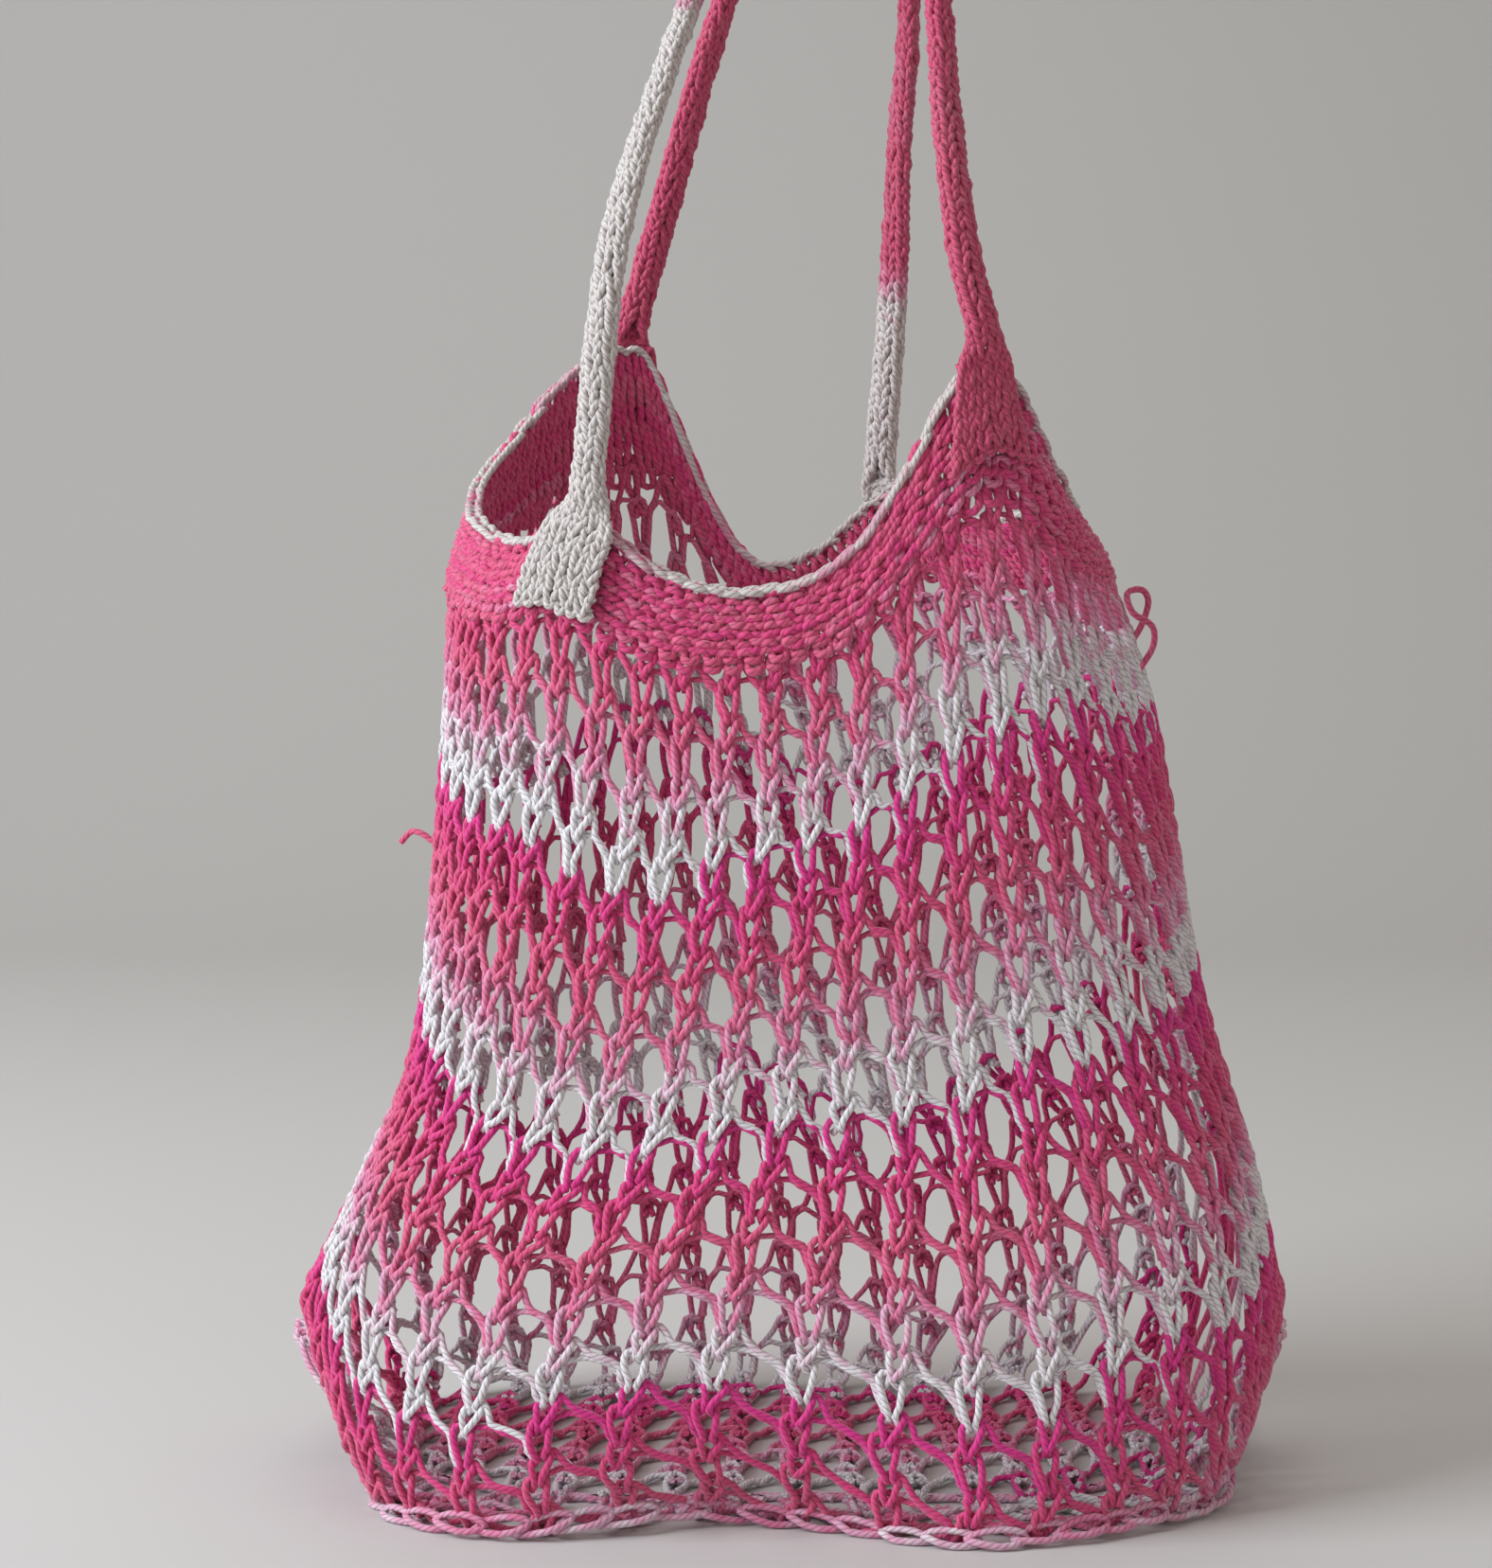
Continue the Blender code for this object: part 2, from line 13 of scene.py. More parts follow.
import bpy
import numpy as np
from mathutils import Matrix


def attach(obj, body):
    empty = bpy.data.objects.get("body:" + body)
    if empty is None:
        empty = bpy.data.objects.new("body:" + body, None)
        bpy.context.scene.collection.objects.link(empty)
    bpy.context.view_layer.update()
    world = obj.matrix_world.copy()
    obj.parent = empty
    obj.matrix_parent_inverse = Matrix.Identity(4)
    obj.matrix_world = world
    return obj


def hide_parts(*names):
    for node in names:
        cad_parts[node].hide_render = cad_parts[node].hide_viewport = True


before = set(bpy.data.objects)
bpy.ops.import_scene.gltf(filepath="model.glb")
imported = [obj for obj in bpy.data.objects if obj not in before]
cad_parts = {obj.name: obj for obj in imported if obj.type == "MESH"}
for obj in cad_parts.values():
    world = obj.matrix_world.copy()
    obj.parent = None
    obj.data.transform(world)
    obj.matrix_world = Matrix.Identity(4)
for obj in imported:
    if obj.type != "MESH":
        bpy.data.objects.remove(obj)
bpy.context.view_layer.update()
scene = bpy.context.scene
print("solids:", sorted(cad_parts))


def table(columns, rows):
    """Rows of values under named columns."""
    return [dict(zip(columns.split(), row)) for row in rows]


def link(thing):
    """Put an object in the scene and hand it back."""
    scene.collection.objects.link(thing)
    return thing


# %% [markdown]
# ## Camera, floor and light
# The photo looks slightly down at the bag from about 1.2 m in front of it. The
# floor is plain pale paper that curves up far behind, so that no edge shows.
# One large soft light stands on the left, with a weak fill on the right and a
# soft one above, which leaves the right side in gentle shade.

# %% Camera
MM = 0.001
FRAME_SHIFT = np.array([0.5, 8.9, 0.0])
IMAGE_HEIGHT = 1656
FOCAL_PIXELS = 3667
SENSOR = 36.0
CAMERA_PLACE = (-16, -1195, 340)
CAMERA_DIP = 5.0

camera_data = bpy.data.cameras.new("photo_camera")
camera_data.sensor_fit = "VERTICAL"
camera_data.sensor_height = SENSOR
camera_data.lens = FOCAL_PIXELS * SENSOR / IMAGE_HEIGHT
camera = link(bpy.data.objects.new("photo_camera", camera_data))
camera.location = (np.array(CAMERA_PLACE) + FRAME_SHIFT) * MM
camera.rotation_euler = (radians(90 - CAMERA_DIP), 0, 0)
scene.camera = camera
print("lens", round(camera_data.lens, 1), "mm")

# %% Floor and backdrop
FLOOR_HALF = 8.0
SWEEP_START = 1.3
SWEEP_RADIUS = 0.9
SWEEP_HEIGHT = 3.2
SWEEP_STEPS = 12
PAPER_COLOUR = (0.66, 0.645, 0.63, 1)
PAPER_ROUGHNESS = 0.6

profile = [(-FLOOR_HALF, 0.0)]
for step in range(SWEEP_STEPS + 1):
    angle = step / SWEEP_STEPS * pi / 2
    profile.append((SWEEP_START + SWEEP_RADIUS * np.sin(angle),
                    SWEEP_RADIUS * (1 - np.cos(angle))))
profile.append((SWEEP_START + SWEEP_RADIUS, SWEEP_HEIGHT))
points = [(x, y, z) for y, z in profile for x in (-FLOOR_HALF, FLOOR_HALF)]
faces = [(2 * i, 2 * i + 1, 2 * i + 3, 2 * i + 2) for i in range(len(profile) - 1)]
floor_mesh = bpy.data.meshes.new("studio_floor")
floor_mesh.from_pydata(points, [], faces)
floor_mesh.shade_smooth()
paper = bpy.data.materials.new("pale_paper")
paper.use_nodes = True
shader = paper.node_tree.nodes["Principled BSDF"]
shader.inputs["Base Color"].default_value = PAPER_COLOUR
shader.inputs["Roughness"].default_value = PAPER_ROUGHNESS
floor_mesh.materials.append(paper)
floor = link(bpy.data.objects.new("studio_floor", floor_mesh))
print("floor", len(faces), "faces")

# %% Lights
LIGHT_BOUNCES = 2
GLOSS_BOUNCES = 1
SURROUND_COLOUR = (1.0, 0.945, 0.88, 1)
SURROUND_STRENGTH = 0.30
LIGHTS = table("name place target size power colour", [
    ("large_left", (-1.65, -0.62, 1.15), (0, 0, 0.22), 1.2, 42, (0.87, 0.94, 1.0)),
    ("fill_right", (1.7, -1.1, 0.9), (0, 0, 0.25), 1.2, 2.2, (1.0, 0.93, 0.86)),
    ("soft_top", (0.1, 0.5, 2.0), (0, 0, 0.2), 1.6, 8, (1.0, 0.97, 0.93)),
])

for light in LIGHTS:
    data = bpy.data.lights.new(light["name"], "AREA")
    data.size = light["size"]
    data.energy = light["power"]
    data.color = light["colour"]
    lamp = link(bpy.data.objects.new(light["name"], data))
    lamp.location = light["place"]
    away = np.array(light["place"]) - np.array(light["target"])
    tilt = np.arctan2(np.hypot(away[0], away[1]), away[2])
    lamp.rotation_euler = (tilt, 0, np.arctan2(away[0], -away[1]))
scene.world = bpy.data.worlds.new("soft_surround")
scene.world.use_nodes = True
surround = scene.world.node_tree.nodes["Background"]
surround.inputs["Color"].default_value = SURROUND_COLOUR
surround.inputs["Strength"].default_value = SURROUND_STRENGTH
scene.view_settings.view_transform = "Standard"
scene.cycles.max_bounces = LIGHT_BOUNCES
scene.cycles.diffuse_bounces = LIGHT_BOUNCES
scene.cycles.glossy_bounces = GLOSS_BOUNCES
print(len(LIGHTS), "lights")

# %% [markdown]
# ## The drape of the bag
# The cloth hangs between its mouth, pulled up by the straps, and a full round
# foot that ends in two ears. Seven cross-sections give that form, and a smooth
# curve runs down through them from the rim to the bottom seam. The solids are
# made from the same sections, so the yarn lies exactly on them.

# %% Sections of the bag, in millimetres
WALES = 48
MESH_ROWS = 17
SEAM_LEFT = -172.0
SEAM_RIGHT = 171.0
SEAM_Y = -66.0
EAR_Y = 8.0
EAR_HEIGHT = 44.0
EAR_STARTS = 0.70
SEAM_TURNS_BACK = 0.42
SEAM_BACK_POWER = 1.5
SEAM_PITCH = 21.0
SEAM_WIDTH_FLAT = 9.0
SEAM_WIDTH_EAR = 7.2
TIP_SHARE = 0.25

SECTIONS = table("name front left right back fade ear x_left x_right y_front y_back "
                 "square back_scale anchor pitch hold", [
    ("rim", 303, 326, 330, 302, 2, 0, -110, 96, -84, 76, 2.7, 0.70, 36, 13.2, 0.0),
    ("band", 281, 303, 309, 281, 2, 0, -117, 108, -87, 80, 2.8, 0.78, 36, 14.2, 0.0),
    ("upper", 223, 246, 262, 228, 2, 0, -121, 124, -90, 84, 2.9, 0.88, 36, 15.4, 0.0),
    ("waist", 133, 150, 168, 140, 2, 0, -131, 141, -92, 86, 3.1, 0.95, 36, 20.0, 0.2),
    ("hip", 80, 106, 112, 84, 2, 0, -148, 158, -97, 88, 3.3, 1.0, 33, 24.5, 0.6),
    ("belly", 34, 77, 76, 36, 9, 5, -157, 161, -103, 89, 3.6, 1.0, 30, 26.5, 0.9),
    ("floor", 0, 60, 58, 0, 24, 20, -150, 149, -96, 80, 3.8, 1.0, 28, 26.5, 1.0),
])
LOBES = table("section x width forward", [
    ("hip", -82, 40, 4),
    ("belly", -92, 36, 6),
    ("floor", -98, 34, 9),
    ("hip", 62, 45, 6),
    ("belly", 62, 45, 9),
    ("floor", 60, 42, 14),
    ("belly", -14, 36, -2),
    ("floor", -20, 40, -14),
])
CORNERS = {row["name"]: row for row in table("name turn lift before after top_width low", [
    ("front_left", 0.077, 17.0, 0.034, 0.040, 26.0, 0.96),
    ("front_right", 0.288, 66.0, 0.052, 0.052, 21.0, 0.66),
    ("back_right", 0.600, 25.0, 0.048, 0.048, 20.0, 0.80),
    ("back_left", 0.760, 76.0, 0.048, 0.105, 17.0, 0.66),
])}
LIFT_SHARE = {"rim": 1.0, "band": 0.74, "upper": 0.45, "waist": 0.15}
LIFT_POWER = 1.9
MIDDLE_TURN = 0.25
FAN_WALES = 11.0
LEFT_SPREAD = 1.13
RIGHT_SPREAD = 0.99
CURVE_STEPS = 16
PLAN_STEPS = 720


# %% How the wales share out a section
def half_turn_wrap(turn):
    """A difference of turns, brought between -0.5 and 0.5."""
    return (turn + 0.5) % 1.0 - 0.5


def signed_power(value, power):
    """Raise the size of each value to a power and keep its sign."""
    return np.where(value >= 0, 1.0, -1.0) * np.abs(value) ** power


def smooth(value):
    """Ease from 0 to 1."""
    value = np.clip(value, 0.0, 1.0)
    return value * value * (3 - 2 * value)


def fan_integral(wale):
    """How much extra spread lies between the middle front wale and this one."""
    inside = 0.5 * (wale + FAN_WALES / pi * np.sin(pi * wale / FAN_WALES))
    return np.where(np.abs(wale) >= FAN_WALES, np.sign(wale) * FAN_WALES / 2, inside)


def fan_terms(count, pitch, length):
    """The base pitch and extra spread that fit a count of wales into a length."""
    extra = (count * pitch - length) / (length - pitch * FAN_WALES)
    return pitch / (1 + extra), extra


def fan_reach(wale, count, pitch, length):
    """The length from the middle front wale to each wale."""
    base, extra = fan_terms(count, pitch, length)
    return base * (wale + extra * fan_integral(wale))


def corner_lift(turn):
    """How far the strap ends pull the mouth up at each turn."""
    total = np.zeros_like(turn)
    for corner in CORNERS.values():
        away = half_turn_wrap(turn - corner["turn"])
        reach = np.where(away > 0, corner["after"], corner["before"])
        total += corner["lift"] * np.exp(-(np.abs(away) / reach) ** LIFT_POWER)
    return total


# %% One section as a line of points, one for each turn
def plan_outline(section):
    """The plan outline: x, y, angle and the length up to each point."""
    angle = -pi / 2 + 2 * pi * np.arange(PLAN_STEPS + 1) / PLAN_STEPS
    across = np.cos(angle)
    along = np.sin(angle)
    middle = 0.5 * (section["x_left"] + section["x_right"])
    half = 0.5 * (section["x_right"] - section["x_left"])
    power = 2 / section["square"]
    x = half * signed_power(across, power)
    behind = along > 0
    x = np.where(behind, x * (1 - (1 - section["back_scale"]) * along), x)
    y = np.where(behind, section["y_back"], section["y_front"]) * np.abs(along) ** power
    x = x + middle + across * section["ear"] * np.abs(across) ** (section["fade"] - 1)
    for lobe in LOBES:
        if lobe["section"] == section["name"]:
            bulge = np.exp(-((x - lobe["x"]) / lobe["width"]) ** 2)
            y = y - lobe["forward"] * bulge * np.maximum(-along, 0)
    length = np.concatenate([[0.0], np.cumsum(np.hypot(np.diff(x), np.diff(y)))])
    return x, y, angle, length


def section_points(section, turn):
    """The points of a section at each turn round the bag."""
    x, y, angle, length = plan_outline(section)
    half = PLAN_STEPS // 2
    first = np.argmax(x[1:] >= section["anchor"]) + 1
    start = np.interp(section["anchor"], x[first - 1:first + 1], length[first - 1:first + 1])
    right = np.where(x[:half] > 0, np.abs(y[:half] - EAR_Y), np.inf).argmin()
    left = half + np.where(x[half:-1] < 0, np.abs(y[half:-1] - EAR_Y), np.inf).argmin()
    to_right = length[right] - start
    to_left = start + length[-1] - length[left]
    wale = half_turn_wrap(turn - MIDDLE_TURN) * WALES
    quarter = WALES / 4
    free = fan_reach(wale, WALES, section["pitch"], length[-1])
    side = np.where(wale > 0, to_right, to_left)
    spread = np.where(wale > 0, RIGHT_SPREAD, LEFT_SPREAD)
    near = fan_reach(wale, 2 * quarter, section["pitch"] * spread, 2 * side)
    back = length[-1] - to_left - to_right
    beyond = np.sign(wale) * (side + back * (np.abs(wale) - quarter) / (2 * quarter))
    eared = np.where(np.abs(wale) <= quarter, near, beyond)
    reach = (start + free + (eared - free) * section["hold"]) % length[-1]
    px = np.interp(reach, length, x)
    py = np.interp(reach, length, y)
    turned = np.interp(reach, length, angle)
    ends = np.where(np.cos(turned) < 0, section["left"], section["right"])
    face = np.where(np.sin(turned) < 0, section["front"], section["back"])
    weight = np.abs(np.cos(turned)) ** section["fade"]
    lift = corner_lift(turn) * LIFT_SHARE.get(section["name"], 0.0)
    z = face * (1 - weight) + ends * weight + lift
    return np.stack([px, py, z], axis=-1)


def seam_points(turn):
    """The bottom seam at each turn: front and back halves run side by side."""
    turn = turn % 1.0
    front = turn <= 0.5
    share = np.where(front, 2 * turn, 2 - 2 * turn)
    wale = (share - 0.5) * WALES / 2
    base, extra = fan_terms(WALES / 2, SEAM_PITCH, SEAM_RIGHT - SEAM_LEFT)
    x = SEAM_LEFT + base * (wale + WALES / 4 + extra * (fan_integral(wale) + FAN_WALES / 2))
    ends = np.minimum(share, 1 - share) * WALES / 2
    tip = np.where(share < 0.5, SEAM_LEFT, SEAM_RIGHT)
    x = tip + (x - tip) * (TIP_SHARE + (1 - TIP_SHARE) * smooth(ends - 1))
    out = np.abs(2 * (x - SEAM_LEFT) / (SEAM_RIGHT - SEAM_LEFT) - 1)
    rise = np.clip((out - EAR_STARTS) / (1 - EAR_STARTS), 0.0, 1.0)
    back = np.clip((out - SEAM_TURNS_BACK) / (1 - SEAM_TURNS_BACK), 0.0, 1.0)
    y = SEAM_Y + (EAR_Y - SEAM_Y) * back ** SEAM_BACK_POWER
    width = SEAM_WIDTH_FLAT + (SEAM_WIDTH_EAR - SEAM_WIDTH_FLAT) * back
    y = y + np.where(front, -0.5, 0.5) * width * np.minimum(ends, 1.0)
    return np.stack([x, y, EAR_HEIGHT * rise * rise], axis=-1)


# %% [markdown]
# The sheet is kept as a fine grid of points and outward directions, for the
# band and for the net. A stitch asks the grid for its place by how far round
# the bag it is and how far down, so thousands of stitches cost one lookup.

# %% The drape as a grid
GRID_TURNS = 576
NET_STEPS = 205
BAND_STEPS = 33
NORMAL_PASSES = 6


def curve_between(before, start, end, after, share):
    """Points on the smooth curve through four knots, between the middle two."""
    square = share * share
    cube = square * share
    return 0.5 * (2 * start + (end - before) * share
                  + (2 * before - 5 * start + 4 * end - after) * square
                  + (3 * start - before - 3 * end + after) * cube)


def even_spacing(line, count):
    """Points evenly spaced along each line of an array of lines."""
    runs = np.linalg.norm(np.diff(line, axis=1), axis=2)
    reach = np.concatenate([np.zeros((len(line), 1)), np.cumsum(runs, axis=1)], axis=1)
    result = np.empty((len(line), count, 3))
    for index in range(len(line)):
        wanted = np.linspace(0, reach[index, -1], count)
        for axis in range(3):
            result[index, :, axis] = np.interp(wanted, reach[index], line[index, :, axis])
    return result


def between(grid, column, row):
    """Values of a grid between the four cells nearest to a column and row."""
    left = np.floor(column).astype(int)
    top = np.minimum(np.floor(row).astype(int), grid.shape[1] - 2)
    a = (column - left)[..., None]
    b = (row - top)[..., None]
    left = left % len(grid)
    right = (left + 1) % len(grid)
    upper = grid[left, top] * (1 - a) + grid[right, top] * a
    lower = grid[left, top + 1] * (1 - a) + grid[right, top + 1] * a
    return upper * (1 - b) + lower * b


class Sheet:
    """A grid of cloth points, round the bag by down it, with outward directions."""

    def __init__(self, points):
        self.points = points
        across = np.roll(points, -1, axis=0) - np.roll(points, 1, axis=0)
        down = np.gradient(points, axis=1)
        normal = np.cross(down, across)
        normal /= np.linalg.norm(normal, axis=2, keepdims=True) + 1e-9
        for _ in range(NORMAL_PASSES):
            normal = normal + np.roll(normal, 1, axis=0) + np.roll(normal, -1, axis=0)
            sides = np.concatenate([normal[:, :1], normal, normal[:, -1:]], axis=1)
            normal = normal + sides[:, :-2] + sides[:, 2:]
            normal /= np.linalg.norm(normal, axis=2, keepdims=True) + 1e-9
        self.normals = normal
        self.height = np.linalg.norm(np.diff(points, axis=1), axis=2).sum(axis=1)

    def blend(self, grid, turn, share):
        """Values of a grid at each turn and share of the way down."""
        rows = np.clip(share, 0, 1) * (grid.shape[1] - 1)
        return between(grid, (turn % 1.0) * len(grid), rows)

    def place(self, turn, share, height):
        """Points at a height off the cloth, straight on past its two edges."""
        base = self.blend(self.points, turn, share)
        over = share - np.clip(share, 0, 1)
        if np.any(over != 0):
            step = 2.0 / (self.points.shape[1] - 1)
            inner = np.where(over > 0, 1 - step, step)
            edge = np.where(over > 0, 1.0, 0.0)
            slope = (self.blend(self.points, turn, edge)
                     - self.blend(self.points, turn, inner)) / step
            base = base + slope * np.abs(over)[..., None]
        return base + self.blend(self.normals, turn, share) * height[..., None]

    def wale_pitch(self, turn, share):
        """The distance from wale to wale, from a quarter either side."""
        step = 0.25 / WALES
        apart = (self.blend(self.points, turn + step, share)
                 - self.blend(self.points, turn - step, share))
        return np.linalg.norm(apart, axis=-1) * 2


grid_turn = np.arange(GRID_TURNS) / GRID_TURNS
knots = [section_points(section, grid_turn) for section in SECTIONS]
knots.append(seam_points(grid_turn))
knots = [2 * knots[0] - knots[1]] + knots + [2 * knots[-1] - knots[-2]]
lines = [curve_between(*knots[index:index + 4], step / CURVE_STEPS)
         for index in range(len(knots) - 3) for step in range(CURVE_STEPS)]
lines = np.stack(lines + [knots[-2]], axis=1)
lines[:, :, 2] = np.maximum(lines[:, :, 2], 0.0)
band_sheet = Sheet(even_spacing(lines[:, :CURVE_STEPS + 1], BAND_STEPS))
net_sheet = Sheet(even_spacing(lines[:, CURVE_STEPS:], NET_STEPS))
print("net height", net_sheet.height.min().round(), "to", net_sheet.height.max().round(), "mm")

# %% [markdown]
# ## Cotton yarn
# The yarn is a soft plied cotton, dyed in long stretches, so that one skein
# gives hot pink, light pink and white in turn. The twist shows as fine slanted
# grooves. They could be modelled, but a groove in a yarn of 2.5 mm is a tenth of
# a millimetre or two deep, so a bump that follows the yarn does it, and painted
# shade darkens the colour in the grooves. Both read two attributes that the tube
# carries: the length along the yarn and the direction round it. The straps and
# the chain round the rim are a little creamier, and their colour is darker as
# painted shade.


# %% Shader groups for the twist and the dye
def new_tree(name, kind, sockets):
    """A node tree with named sockets."""
    tree = bpy.data.node_groups.new(name, kind)
    for socket, data, way in sockets:
        tree.interface.new_socket(name=socket, in_out=way, socket_type="NodeSocket" + data)
    return tree


def new_node(tree, kind, inputs, **settings):
    """Add a node, link or set its inputs, and hand back its outputs."""
    made = tree.nodes.new(kind)
    for name, value in settings.items():
        setattr(made, name, value)
    for name, value in inputs.items():
        if hasattr(value, "links"):
            tree.links.new(value, made.inputs[name])
        else:
            made.inputs[name].default_value = value
    return made.outputs


def math_node(tree, operation, first, second=0.5):
    """A Math node whose inputs are sockets or numbers."""
    return new_node(tree, "ShaderNodeMath", {0: first, 1: second}, operation=operation)[0]


def multiply_node(tree, factor, first, second):
    """A Mix node that multiplies one colour by another."""
    inputs = {"Factor": factor, "A": first, "B": second}
    return new_node(tree, "ShaderNodeMix", inputs,
                    data_type="RGBA", blend_type="MULTIPLY")["Result"]


def ramp_node(tree, value, stops):
    """A colour ramp with the stops of a table."""
    node = tree.nodes.new("ShaderNodeValToRGB")
    elements = node.color_ramp.elements
    for element, stop in ((elements[0], stops[0]), (elements[1], stops[-1])):
        element.position = stop["at"]
        element.color = (*stop["colour"], 1)
    for stop in stops[1:-1]:
        elements.new(stop["at"]).color = (*stop["colour"], 1)
    tree.links.new(value, node.inputs["Fac"])
    return node.outputs["Color"]


def attribute(tree, name, output):
    """An attribute that the yarn carries."""
    return new_node(tree, "ShaderNodeAttribute", {}, attribute_name=name)[output]


PLIES = 3.0
PLY_LENGTH = 0.0075
PLY_ROUNDNESS = 0.55
FIBRES = 19
FIBRE_HEIGHT = 0.06


def make_twist_group():
    """Heights of the plies and fibres of a twisted yarn, and a groove mask."""
    group = new_tree("plied_twist", "ShaderNodeTree", [
        ("Plies", "Float", "INPUT"), ("Ply Length", "Float", "INPUT"),
        ("Height", "Float", "OUTPUT"), ("Groove", "Float", "OUTPUT")])
    given = new_node(group, "NodeGroupInput", {})
    ring = new_node(group, "ShaderNodeSeparateXYZ", {0: attribute(group, "ring", "Vector")})
    angle = math_node(group, "ARCTAN2", ring["Y"], ring["X"])
    turns = math_node(group, "DIVIDE", attribute(group, "along", "Fac"), given["Ply Length"])
    total = math_node(group, "ADD", angle, math_node(group, "MULTIPLY", turns, 2 * pi))
    phase = math_node(group, "MULTIPLY", total, given["Plies"])
    wave = math_node(group, "COSINE", math_node(group, "MULTIPLY", phase, 0.5))
    rounded = math_node(group, "POWER", math_node(group, "ABSOLUTE", wave), PLY_ROUNDNESS)
    fibre = math_node(group, "SINE", math_node(group, "MULTIPLY", total, FIBRES))
    fibre = math_node(group, "MULTIPLY", fibre, FIBRE_HEIGHT)
    height = math_node(group, "ADD", rounded, fibre)
    new_node(group, "NodeGroupOutput", {"Height": height, "Groove": rounded})
    return group


DYE_STIR_SCALE = 190
DYE_STIR_DETAIL = 1.5
DYE_STIR = 0.30
DYE_STOPS = table("at colour", [
    (0.00, (0.82, 0.036, 0.305)),
    (0.20, (0.80, 0.055, 0.240)),
    (0.44, (0.79, 0.115, 0.250)),
    (0.62, (0.83, 0.225, 0.410)),
    (0.73, (0.85, 0.480, 0.640)),
    (0.82, (0.86, 0.810, 0.835)),
    (1.00, (0.87, 0.850, 0.875)),
])
# Cream tint that also darkens the colour as painted shade.
CREAM_AND_SHADE = (0.82, 0.79, 0.73, 1)


def make_dye_group():
    """The long dye repeat along the skein, from the dye attribute."""
    group = new_tree("long_dye", "ShaderNodeTree", [
        ("Cream And Shade", "Float", "INPUT"), ("Color", "Color", "OUTPUT")])
    given = new_node(group, "NodeGroupInput", {})
    spot = new_node(group, "ShaderNodeTexCoord", {})["Object"]
    noise = new_node(group, "ShaderNodeTexNoise",
                     {"Scale": DYE_STIR_SCALE, "Detail": DYE_STIR_DETAIL, "Vector": spot})
    stir = math_node(group, "SUBTRACT", noise["Fac"], 0.5)
    stir = math_node(group, "MULTIPLY", stir, DYE_STIR)
    place = math_node(group, "ADD", attribute(group, "dye", "Fac"), stir)
    colour = ramp_node(group, place, DYE_STOPS)
    # Cream tint and painted shade, mixed in by the given amount.
    colour = multiply_node(group, given["Cream And Shade"], colour, CREAM_AND_SHADE)
    new_node(group, "NodeGroupOutput", {"Color": colour})
    return group


twist_group = make_twist_group()
dye_group = make_dye_group()
print(twist_group.name, dye_group.name)

# %% The yarn material
GROOVE_DEPTH = 0.00022
GROOVE_BUMP = 0.9
# Painted shade: the colour darkens towards the bottom of each groove between the plies.
GROOVE_PAINTED_SHADE = table("at colour", [(0.15, (0.50, 0.42, 0.46)), (0.75, (1, 1, 1))])
YARN_SURFACE = {"Roughness": 0.62, "Specular IOR Level": 0.35,
                "Sheen Weight": 0.35, "Sheen Roughness": 0.45}
# How much cream tint and painted shade the straps and the chain get.
STRAP_CREAM_AND_SHADE = 0.9


def yarn_material(name, cream_and_shade):
    """Twisted cotton in the long dye."""
    material = bpy.data.materials.new(name)
    material.use_nodes = True
    tree = material.node_tree
    shader = tree.nodes["Principled BSDF"]
    twist = new_node(tree, "ShaderNodeGroup", {"Plies": PLIES, "Ply Length": PLY_LENGTH},
                     node_tree=twist_group)
    dye = new_node(tree, "ShaderNodeGroup", {"Cream And Shade": cream_and_shade}, node_tree=dye_group)
    # Painted shade in the grooves, taken from the groove mask.
    groove_shade = ramp_node(tree, twist["Groove"], GROOVE_PAINTED_SHADE)
    bump = new_node(tree, "ShaderNodeBump", {
        "Strength": GROOVE_BUMP, "Distance": GROOVE_DEPTH, "Height": twist["Height"]})
    colour = multiply_node(tree, 1.0, dye["Color"], groove_shade)
    tree.links.new(colour, shader.inputs["Base Color"])
    tree.links.new(bump["Normal"], shader.inputs["Normal"])
    for socket, value in YARN_SURFACE.items():
        shader.inputs[socket].default_value = value
    return material


net_yarn = yarn_material("net_yarn_cotton", 0.0)
band_yarn = yarn_material("band_yarn_cotton", 0.0)
strap_yarn = yarn_material("strap_yarn_cotton", STRAP_CREAM_AND_SHADE)
print(net_yarn.name, band_yarn.name, strap_yarn.name)

# %% [markdown]
# ## From paths to yarn
# A stitch is drawn as a line of points. The tree below turns every line into a
# curve, gives it the yarn's radius, sweeps a small ring along it and closes the
# ends. It also stores the length along and the direction round the yarn for the
# material. Sweeping by hand would work too, but the tree does ten thousand
# points at once and keeps the yarn's thickness as one input.


